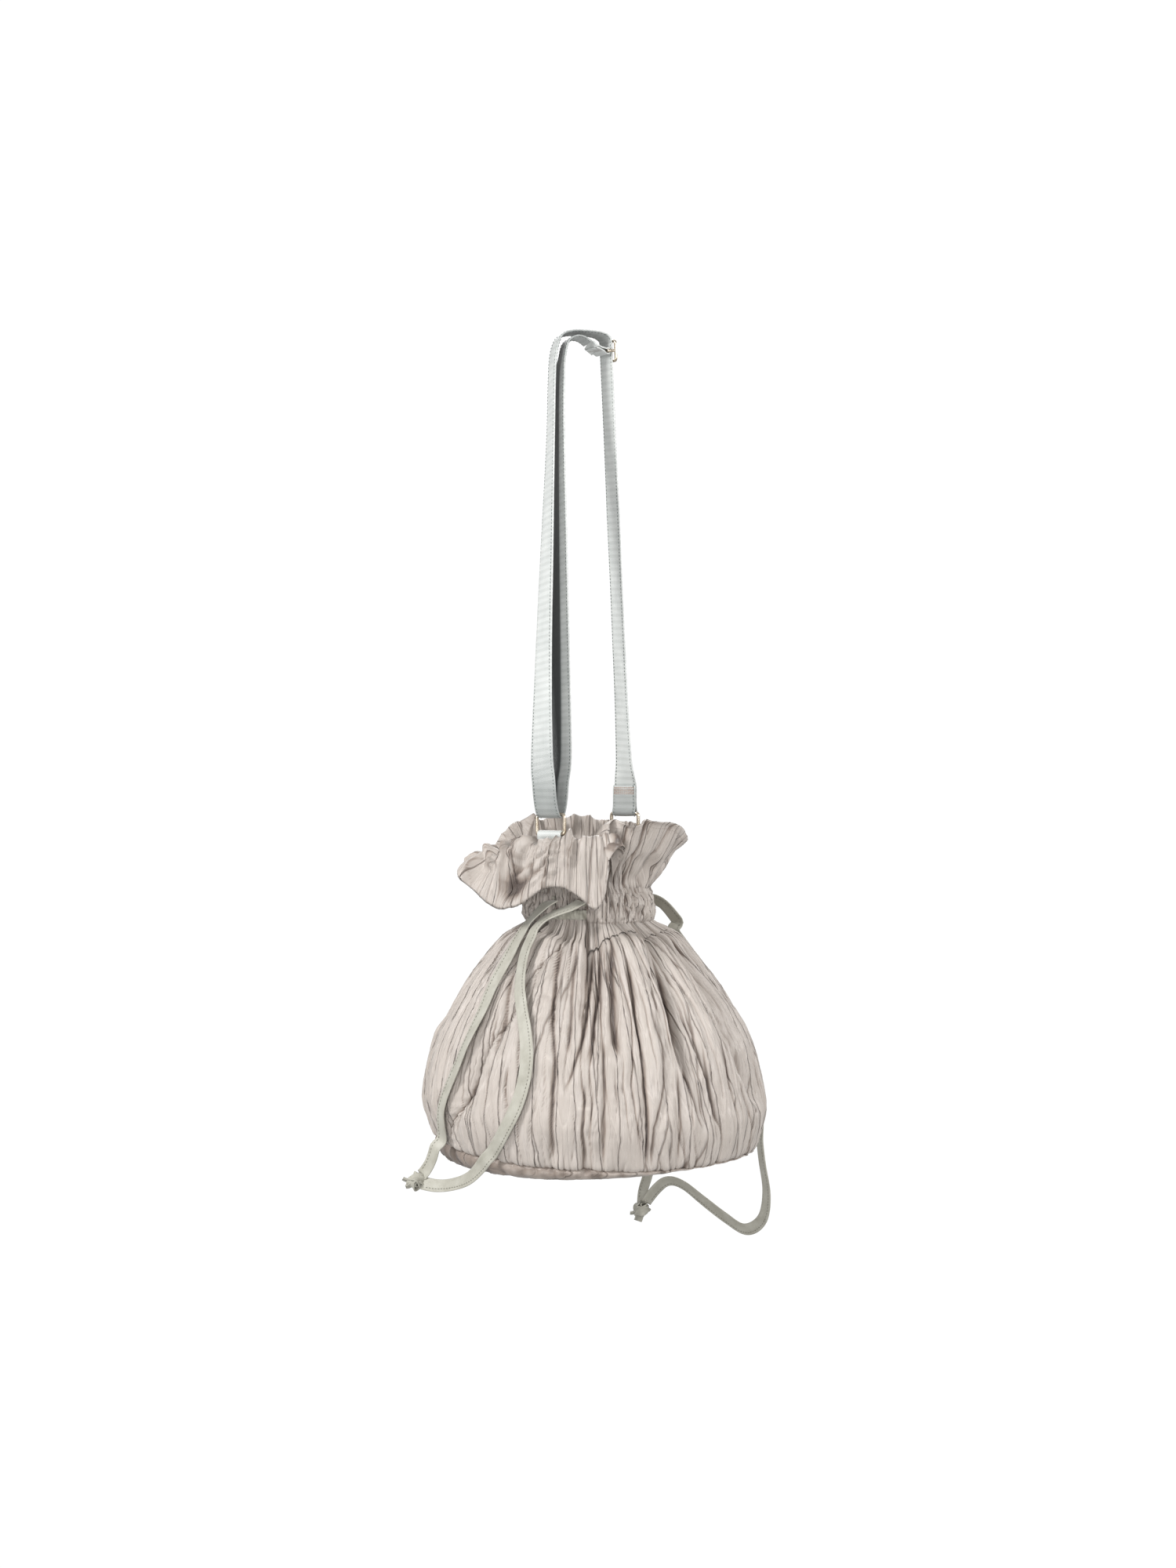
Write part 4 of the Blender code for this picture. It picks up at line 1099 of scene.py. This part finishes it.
STRAP_STEP = 0.0030
WIDTH_WAY = np.array([0, 1.0, 0])      # the webbing's width at the rings
ARCH_TURN = 48.0
RUN_TURN = 58.0
ARCH_DIR = np.array([math.sin(math.radians(ARCH_TURN)), -math.cos(math.radians(ARCH_TURN)), 0])
SLIDER_POS = np.array([0.0210, -0.0181, -0.0080])
RUN_FOOT = np.array([0.0620, -0.0125, -0.3850])
RUN_DIR = (RUN_FOOT - SLIDER_POS) / np.linalg.norm(RUN_FOOT - SLIDER_POS)
BAR_OFF = -(WEB_THICK * 1.5 + SLIDER_WIRE + 0.0006)    # the slider's bar from the run, along its face


def strap_stations():
    """The whole strap from its sewn end at the far ring, up, over and down to the near ring and back."""
    bend = WIRE + WEB_GAP + WEB_THICK / 2
    legs = LAYER_HALF
    x = RING_X
    route = [(x - legs, MOUTH_Y, -0.413, 88.0), (x - legs, MOUTH_Y, -0.424, 89.0),
             (x - legs, MOUTH_Y, -0.433, 90.0), (x - bend, MOUTH_Y, RING_TOP + 0.001, 90.0)]
    for k in range(1, 6):
        a = math.pi + math.pi * k / 6
        route.append((x + bend * math.cos(a), MOUTH_Y, RING_TOP + bend * math.sin(a), 90.0))
    route += [(x + bend, MOUTH_Y, RING_TOP + 0.001, 90.0), (x + legs, MOUTH_Y, -0.433, 90.0),
              (x + legs, MOUTH_Y, -0.424, 89.0), (x + legs, MOUTH_Y, -0.413, 88.0),
              (0.0640, -0.0122, -0.400, 75.0)]
    length = np.linalg.norm(RUN_FOOT - SLIDER_POS)
    for k in range(8):
        point = RUN_FOOT - RUN_DIR * length * k / 7
        route.append((*point, RUN_TURN + 9.0 * (1 - k / 7) ** 8))
    route.append((*(SLIDER_POS - RUN_DIR * 0.010), RUN_TURN))
    # over the arch: (place across it, height, turn)
    for across, z, turn in ((0.0252, 0.0048, 57.0), (0.0205, 0.0072, 55.0), (0.0140, 0.0082, 52.0),
                            (0.0040, 0.0084, ARCH_TURN), (-0.0080, 0.0078, ARCH_TURN),
                            (-0.0180, 0.0034, ARCH_TURN), (-0.0232, -0.0110, ARCH_TURN)):
        point = ARCH_DIR * across
        route.append((point[0], point[1], z, turn))
    # the long double run: (share of the way down, turn, half the distance between its two layers)
    pairs = ((0.0, 48.0, 0.0052), (0.14, 49.0, 0.0056), (0.39, 58.0, 0.0079), (0.644, 67.0, 0.0105),
             (0.861, 84.0, 0.0140))
    middle = np.array([-0.0146, 0.0132, 0])
    foot = np.array([-RING_X, MOUTH_Y, 0])
    down, up = [], []
    for s, turn, half in pairs:
        centre = middle + (foot - middle) * s
        z = -0.035 - 0.4035 * s
        face = np.array([math.sin(math.radians(turn)), -math.cos(math.radians(turn)), 0])
        down.append((*(centre - face * half)[:2], z, turn))
        bow = math.sin(math.pi * min(1, s * 1.1))
        inner = (centre + face * half)[:2] - RIGHT_OF_VIEW * (0.0030 * (1 - s) ** 2 + 0.0018 * bow)
        up.insert(0, (*inner, z, turn + 7.0 * (1 - s) + 6.0 * bow))
    # round the near ring's top bar: (place from its middle, height), and back up under the arch
    loop = ((-0.0115, -0.4100), (-0.0095, -0.4245), (-0.0065, -0.4353), (-0.0030, -0.4409), (0.0, -0.4418),
            (0.0030, -0.4409), (0.0065, -0.4353), (0.0095, -0.4245), (0.0115, -0.4100))
    route += down + [(-RING_X + a, MOUTH_Y, z, 90.0) for a, z in loop] + up
    for across, z in ((-0.0150, -0.0150), (-0.0120, -0.0020), (-0.0060, 0.0030), (0.0000, 0.0038),
                      (0.0050, 0.0022), (0.0095, -0.0012)):
        point = ARCH_DIR * across
        route.append((point[0], point[1], z, ARCH_TURN))
    return smooth_curve(route, 14)


def slider_axes():
    """Directions across the slider, down its run and out of its face."""
    turn = math.radians(RUN_TURN)
    across = np.array([math.cos(turn), math.sin(turn), 0])
    across = unit(across - RUN_DIR * (across @ RUN_DIR))
    face = np.cross(across, RUN_DIR)
    return across, RUN_DIR, face if face @ ARCH_DIR > 0 else -face


def strap_shade(along, section):
    """Painted shade on the strap: a painted shadow over half of the inner face of its long double run, and
    painted shade at its bends.
    """
    run = np.clip((along - 0.46) / 0.04, 0, 1) * np.clip((0.995 - along) / 0.01, 0, 1)
    inner = section[:, 1] < 0
    deep = np.clip((section[:, 0] + 0.0012) / 0.0024, 0, 1)
    bends = 0.28 * np.exp(-((along - 0.668) / 0.040) ** 2) + 0.24 * np.exp(-((along - 0.018) / 0.020) ** 2)
    bends += 0.24 * (np.exp(-((along - 0.352) / 0.022) ** 2) + np.clip((along - 0.955) / 0.03, 0, 1))
    return np.clip(run[:, None] * np.where(inner, deep, 0.0)[None, :] + bends[:, None], 0, 1)


def make_strap():
    line = even(strap_stations(), STRAP_STEP)
    strap = webbing("strap_webbing_woven", line, "strap", painted_shade=strap_shade)
    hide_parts("strap_webbing")
    # the run from under the arch to the slider's bar, drawn out as the slider goes down
    across, along, face = slider_axes()
    bar = SLIDER_POS + face * BAR_OFF
    back = unit(-face * 0.93 - along * 0.37)
    side = unit(np.cross(across, back))
    bend = SLIDER_WIRE + WEB_GAP + WEB_THICK / 2
    stations = [bar + back * out - side * LAYER_HALF for out in (0.0120, 0.0055)]
    for k in range(13):
        a = -math.pi / 2 + math.pi * k / 12
        stations.append(bar - back * bend * math.cos(a) + side * bend * math.sin(a))
    stations += [bar + back * out + side * LAYER_HALF for out in (0.0055, 0.0120)]
    loop = webbing("strap_slider_loop", smooth_curve(stations, 4), "slider", 0.0010, across, crown=0.0)
    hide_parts("strap_slider_end")
    start = line[-1, :3]
    inner = bar + back * 0.0075 - side * LAYER_HALF * np.sign(side[2])
    link_line = np.linspace(start, inner, 60)
    link_piece = webbing("strap_inner_run", [(*p, RUN_TURN) for p in link_line], None, 0.0004, crown=0.0)
    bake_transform(link_piece)
    upper = side if side[2] > 0 else -side
    rows = []
    for out in (0.0062, 0.0082):
        for sign in (1, -1):
            rows.append(sewn_row(bar + back * out, across, 0.0105, upper * sign, 8))
    sewing = stitches("slider_end_stitches", rows, 0.0019, 0.0006, 0.0024, SEWING)
    belong(sewing, "slider", "thread", "slider_end_stitching")


def make_strap_sewing():
    """Close rows through both layers of the strap's end above the far ring, and dots along its edges."""
    rows = []
    for side in (-1, 1):
        for z in (-0.4150, -0.4165, -0.4180, -0.4195, -0.4210):
            middle = np.array([RING_X, MOUTH_Y, z])
            rows.append(sewn_row(middle, WIDTH_WAY, 0.0112, np.array([side, 0, 0.0]), 9))
    sewing = stitches("strap_end_stitches", rows, 0.0019, 0.0011, 0.0023, ROSE, 0.0006)
    belong(sewing, "strap", "thread", "strap_end_stitching")
    line = even(strap_stations(), STRAP_STEP)
    _, across, normal = frames(line[:, :3], flat_way(np.radians(line[:, 3])))
    rows = []
    for face in (1, -1):
        for edge in (1, -1):
            points = line[:, :3] + across * edge * 0.0106 + normal * face * (WEB_THICK / 2 + 0.0001)
            rows.append((points, normal * face))
    edging = stitches("strap_edge_dots", rows, 0.0017, 0.0011, 0.0031, EDGING, 0.0002)
    belong(edging, "strap", "webbing")


def rounded_rectangle(width, height, radius, steps=10):
    """Points round a rectangle with round corners, about its middle."""
    out = []
    for quarter, (sx, sy) in enumerate(((1, 1), (-1, 1), (-1, -1), (1, -1))):
        for k in range(steps + 1):
            a = math.radians(90 * quarter + 90 * k / steps)
            out.append((sx * (width / 2 - radius) + radius * math.cos(a),
                        sy * (height / 2 - radius) + radius * math.sin(a)))
    return out


def make_metal():
    for name, x in (("left_ring", -RING_X), ("right_ring", RING_X)):
        middle = (RING_TOP + RING_BOTTOM) / 2
        points = [(x, MOUTH_Y + a, middle + b)
                  for a, b in rounded_rectangle(RING_WIDTH, RING_TOP - RING_BOTTOM, 0.0030)]
        ring = tube_mesh(name + "_wire", points, WIRE, METAL, closed=True)
        belong(ring, name, "nickel", name)
    across, along, face = slider_axes()
    off = WEB_THICK / 2 + SLIDER_WIRE + WEB_GAP
    points = [SLIDER_POS + across * a + along * b + face * off
              for a, b in rounded_rectangle(RING_WIDTH, 0.018, 0.0024)]
    frame_piece = tube_mesh("slider_frame_wire", points, SLIDER_WIRE, METAL, closed=True)
    half = RING_WIDTH / 2
    low = BAR_OFF
    corner = 0.0016
    path = [(-half, off), (-half, low + corner)]
    path += [(-half + corner - corner * math.cos(a), low + corner - corner * math.sin(a))
             for a in np.linspace(0.2, math.pi / 2, 8)]
    path += [(half - corner + corner * math.sin(a), low + corner - corner * math.cos(a))
             for a in np.linspace(0, math.pi / 2 - 0.2, 8)]
    path += [(half, low + corner), (half, off)]
    bar_points = [SLIDER_POS + across * a + face * b for a, b in path]
    bar_piece = tube_mesh("slider_bar_wire", bar_points, SLIDER_WIRE, METAL)
    belong(frame_piece, "slider", "nickel", "slider_frame")
    belong(bar_piece, "slider", "nickel", "slider_bar")


def make_tabs():
    """Webbing over each ring's bottom bar, both legs sewn inside the mouth."""
    bend = WIRE + WEB_GAP + WEB_THICK / 2
    legs = LAYER_HALF
    foot_z, knee_z, leg_z = -0.500, -0.485, -0.466
    for name, side in (("left", -1), ("right", 1)):
        x = side * RING_X
        foot = side * 0.0535
        knee = foot + side * 0.004
        route = [(foot - legs, foot_z), (knee - legs, knee_z), (x - legs, leg_z),
                 (x - bend, RING_BOTTOM - 0.001)]
        for k in range(1, 6):
            a = math.pi - math.pi * k / 6
            route.append((x + bend * math.cos(a), RING_BOTTOM + bend * math.sin(a)))
        route += [(x + bend, RING_BOTTOM - 0.001), (x + legs, leg_z), (knee + legs, knee_z),
                  (foot + legs, foot_z)]
        stations = smooth_curve([(a, MOUTH_Y, b, 90.0) for a, b in route], 8)
        piece = webbing(name + "_tab_webbing", stations, None, 0.0012, crown=0.0)
        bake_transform(piece)
        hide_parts(name + "_tab")
        rows = []
        for dz in (0.0025, 0.0055):
            middle = np.array([foot + side * 0.27 * dz, MOUTH_Y, foot_z + dz])
            rows.append(sewn_row(middle, WIDTH_WAY, 0.0105, np.array([-side, 0, 0.0]), 8))
        sewing = stitches(name + "_tab_stitches", rows, 0.0019, 0.0006, 0.0025, SEWING)
        belong(sewing, "bag", "thread", name + "_tab_stitching")


# ---------------------------------------------------------------- drawcords
LEFT_BACK_RUN = [(-0.062, -0.0125, -0.5177), (-0.07, -0.011, -0.52), (-0.0765, -0.003, -0.529),
                 (-0.08, 0.007, -0.542), (-0.1036, 0.0114, -0.567), (-0.1225, 0.0166, -0.592),
                 (-0.137, 0.0198, -0.617), (-0.1495, 0.0332, -0.658), (-0.1514, 0.0495, -0.697),
                 (-0.1474, 0.0552, -0.719), (-0.142, 0.06, -0.738), (-0.141, 0.065, -0.756),
                 (-0.141, 0.072, -0.77), LEFT_KNOT]
LEFT_FRONT_RUN = [(-0.056, -0.0386, -0.5177), (-0.0665, -0.035, -0.5225), (-0.073, -0.025, -0.527),
                  (-0.078, -0.014, -0.533), (-0.084, -0.007, -0.542), (-0.092, -0.006, -0.552),
                  (-0.1055, -0.007, -0.566), (-0.1244, -0.015, -0.589), (-0.1372, -0.0262, -0.61),
                  (-0.1453, -0.0353, -0.627), (-0.1517, -0.0414, -0.644), (-0.1563, -0.0434, -0.661),
                  (-0.1614, -0.0413, -0.681), (-0.1654, -0.0352, -0.7), (-0.1648, -0.0231, -0.72),
                  (-0.1596, -0.009, -0.738), (-0.155, 0.003, -0.752), (-0.15, 0.019, -0.766),
                  (-0.145, 0.039, -0.776), (-0.143, 0.055, -0.781), (-0.143, 0.068, -0.7825), LEFT_KNOT]
RIGHT_FRONT_RUN = [(0.062, -0.0112, -0.5303), (0.069, -0.015, -0.526), (0.073, -0.03, -0.521),
                   (0.075, -0.046, -0.524), (0.083, -0.058, -0.54), (0.097, -0.067, -0.562),
                   (0.118, -0.085, -0.6), (0.129, -0.099, -0.635), (0.136, -0.108, -0.67),
                   (0.139, -0.115, -0.705), (0.137, -0.119, -0.735), (0.135, -0.12, -0.752),
                   (0.14, -0.12, -0.776), (0.151, -0.119, -0.808), (0.159, -0.11, -0.835),
                   (0.166, -0.088, -0.847), (0.171, -0.062, -0.837), (0.173, -0.036, -0.822),
                   (0.174, -0.014, -0.809), (0.1735, 0.003, -0.806), (0.17, 0.015, -0.815), RIGHT_KNOT]
RIGHT_BACK_RUN = [(0.055, 0.015, -0.5303), (0.069, 0.012, -0.533), (0.082, 0.02, -0.545),
                  (0.096, 0.024, -0.56), (0.125, 0.03, -0.6), (0.142, 0.032, -0.625), (0.153, 0.032, -0.65),
                  (0.16, 0.03, -0.675), (0.163, 0.026, -0.7), (0.163, 0.023, -0.725), (0.162, 0.02, -0.745),
                  (0.167, 0.017, -0.775), (0.17, 0.024, -0.8), (0.168, 0.029, -0.818), RIGHT_KNOT]


def hugging(points):
    """Tape lies on the fabric: points a little way off the bag come in to it."""
    points = np.array(points, float)
    z = points[:, 2]
    down = np.clip((CHANNEL_TOP - z) / (CHANNEL_TOP - BASE_SEAM), 0, 1)
    centre = np.stack([0 * z, MOUTH_Y + (BASE_Y - MOUTH_Y) * down], axis=-1)
    out = points[:, :2] - centre
    reach = np.linalg.norm(out, axis=1)
    skin = np.interp(z, PROFILE[:, 0], PROFILE[:, 1])
    slope = np.interp(z, PROFILE[:, 0], PROFILE_SLOPE)
    steep = np.sqrt(1 + np.clip(np.abs(slope), 0, 3) ** 2)
    clear = (reach - skin) / steep
    want = 0.0022
    on = (clear > want) & (clear < 0.013) & (z < -0.545) & (z > BASE_SEAM + 0.004)
    window = np.hanning(13) / np.hanning(13).sum()
    share = np.convolve(np.pad(on.astype(float), 6, mode="edge"), window, "valid") * on
    move = share * (clear - want) * steep
    points[:, :2] -= out / reach[:, None] * move[:, None]
    return points


def bag_outward(points):
    """Rough outward directions from the bag's middle."""
    z = points[:, 2]
    slope = np.interp(z, PROFILE[:, 0], PROFILE_SLOPE, left=0.0)
    flat = unit(points[:, :2] - np.array([0, BASE_Y]))
    return unit(np.stack([flat[:, 0], flat[:, 1], np.clip(-slope, -0.6, 1.6)], axis=-1))


def tape_line(route, knot_place, short=0.006):
    """A tape's smoothed line on the leaning bag, ending a little short of its knot."""
    line = hugging(even(smooth_curve(route, 24), 0.002))
    settle(line, 3)
    line = lean(line)
    far = np.linalg.norm(line - lean([knot_place])[0], axis=1)
    return line[far > short]


def tape_run(name, route, knot_place, twist, side, node, body, seed):
    """A folded tape from its exit to its knot. twist is (share along, turn in degrees) pairs, and side is the
    edge that is stitched."""
    line = tape_line(route, knot_place)
    tangent = unit(np.gradient(line, axis=0))
    out = bag_outward(line)
    across = unit(np.cross(tangent, out))
    for k in range(1, len(across)):
        if across[k] @ across[k - 1] < 0:
            across[k] = -across[k]
    settle(across, 8)
    across = unit(across - tangent * (across * tangent).sum(1, keepdims=True))
    normal = np.cross(across, tangent)
    if (normal * out).sum(1).mean() < 0:
        across, normal = -across, -normal
    t = np.linspace(0, 1, len(line))
    rng = np.random.default_rng(seed)
    roll = np.interp(t, [p[0] for p in twist], [math.radians(p[1]) for p in twist])
    roll = roll + 0.10 * np.interp(t, np.linspace(0, 1, 14), rng.uniform(-1, 1, 14))
    settle(roll, 6)
    c, s = np.cos(roll)[:, None], np.sin(roll)[:, None]
    across, normal = across * c + normal * s, normal * c - across * s
    piece = strip(name, line, across, normal, TAPE_WIDTH, TAPE_THICK, TAPE, 9)
    belong(piece, body, "tape", node)
    rows = []
    for face in (1, -1):
        points = line + across * side * TAPE_WIDTH * 0.27 + normal * face * (TAPE_THICK / 2 + 0.0001)
        rows.append((points[2:-2], (normal * face)[2:-2]))
    # the dark thread paints the stitches' small shadows
    sewing = stitches(name + "_edge_stitches", rows, 0.0021, 0.0008, 0.0033, TAPE_THREAD_AND_SHADOW)
    belong(sewing, body, "tape")
    return piece, sewing, line


def knot_piece(name, centre, node, body, tilt, tails):
    """Two tapes tied together in an overhand knot, with short tails."""
    centre = lean([centre])[0]
    angles = np.linspace(0, 2 * math.pi, 40, endpoint=False)
    turn = np.array([[math.cos(tilt), 0, math.sin(tilt)], [0, 1, 0], [-math.sin(tilt), 0, math.cos(tilt)]])
    # (radius, rise along the knot, tilt across it, width)
    wraps = ((0.0066, 0.0024, 0.5, 0.0095), (0.0070, -0.0022, -0.7, 0.0090), (0.0056, 0.0, 1.45, 0.0085))
    made = []
    for k, (radius, lift, cross, width) in enumerate(wraps):
        ring = np.stack([np.cos(angles) * radius, np.sin(angles) * radius * 0.92,
                         lift + 0.0012 * np.sin(angles * 2 + k)], axis=-1)
        c, s = math.cos(cross), math.sin(cross)
        lay = np.array([[1, 0, 0], [0, c, -s], [0, s, c]])
        ring = ring @ lay.T @ turn.T
        out = unit(ring)
        tangent = unit(np.roll(ring, -1, axis=0) - np.roll(ring, 1, axis=0))
        across = unit(np.cross(out, tangent))
        out = np.cross(tangent, across)
        wobble = 0.25 * np.sin(angles * 3 + k)[:, None]
        across = unit(across + out * wobble)
        out = np.cross(tangent, across)
        made.append(strip(name + "_wrap%d" % k, ring + centre, across, out, width, 0.0014, TAPE, 7,
                          closed=True, crown=-0.0010))
    for k, (direction, length) in enumerate(tails):
        direction = unit(np.asarray(direction, float))
        t = np.linspace(0, 1, 14)[:, None]
        bow = np.array([0, 0, -1.0]) * (t * (1 - t)) * 0.004
        line = centre + direction * (0.003 + length * t) + bow
        side = unit(np.cross(direction, [0.3, 0.2, 0.9]))
        _, across, out = frames(line, np.tile(side, (len(line), 1)))
        made.append(strip(name + "_tail%d" % k, line, across, out, 0.0105, 0.0013, TAPE, 7, crown=0.0014))
    piece = join(made[0], made[1:])
    piece.name = name
    belong(piece, body, "tape", node)
    return piece


def make_drawcords():
    view_left = -np.array([*RIGHT_OF_VIEW, 0])
    left_tails = [(view_left + [0, 0, 0.15], 0.0095), (view_left * 0.8 + [0, 0, -0.45], 0.0080)]
    right_tails = [(view_left * 0.9 + [0, 0, -0.35], 0.0090), (view_left * 0.3 + [0, 0, -1], 0.0095)]
    # (side, the knot's place, tilt and tails, runs of (name, route, twist, side with the stitched edge))
    cords = (("left", LEFT_KNOT, 0.5, left_tails,
              (("back", LEFT_BACK_RUN, ((0, 0), (0.3, 8), (0.6, -10), (1, 30)), 1),
               ("front", LEFT_FRONT_RUN, ((0, 0), (0.25, -14), (0.5, 10), (0.8, 0), (1, -35)), -1))),
             ("right", RIGHT_KNOT, -0.4, right_tails,
              (("front", RIGHT_FRONT_RUN,
                ((0, 0), (0.03, 40), (0.22, 45), (0.45, 10), (0.8, 10), (1, 40)), 1),
               ("back", RIGHT_BACK_RUN, ((0, 0), (0.7, 0), (1, -30)), -1))))
    for side, place, tilt, tails, _ in cords:
        body = side + "_drawcord"
        knot_piece(side + "_knot_tied", place, body + "_knot", body, tilt, tails)
    seed = 70
    for side, place, _, _, runs in cords:
        body = side + "_drawcord"
        for run, route, twist, sewn_side in runs:
            name = "%s_%s_tape" % (side, run)
            node = "%s_%s_run" % (body, run)
            piece, sewing, line = tape_run(name, route, place, twist, sewn_side, node, body, seed)
            seed += 1


# ---------------------------------------------------------------- seams on the bag
def make_bag_sewing():
    """Topstitching round the frill's edge and beside the side seams."""
    rows = []
    for start in (180.0, 0.0):
        angles = np.linspace(start + 1.5, start + 178.5, 420)
        points, normal, _ = folded(angles, np.array([2.90, 2.92]))
        rows.append((points[0] + normal[0] * 0.0003, normal[0]))
    levels = np.linspace(0.02, 2.9, 260)
    spread = np.interp(levels, [0, 1, 2, 3], [1.3, 2.6, 2.6, 2.0])
    for seam in (180.0, 0.0):
        points = []
        normals = []
        for level, wide in zip(levels, spread):
            p, n, _ = folded(np.array([seam + wide, seam + wide + 0.05]), np.array([level, level + 0.004]))
            points.append(p[0, 0] + n[0, 0] * 0.0003)
            normals.append(n[0, 0])
        rows.append((np.array(points), np.array(normals)))
    sewing = stitches("bag_topstitching", rows, 0.0022, 0.00045, 0.0031, SEWING)
    belong(sewing, "bag", "thread")


make_panels()
make_lining()
make_base()
make_casings()
make_channel_tapes()
make_strap()
make_strap_sewing()
make_metal()
make_tabs()
make_drawcords()
make_bag_sewing()
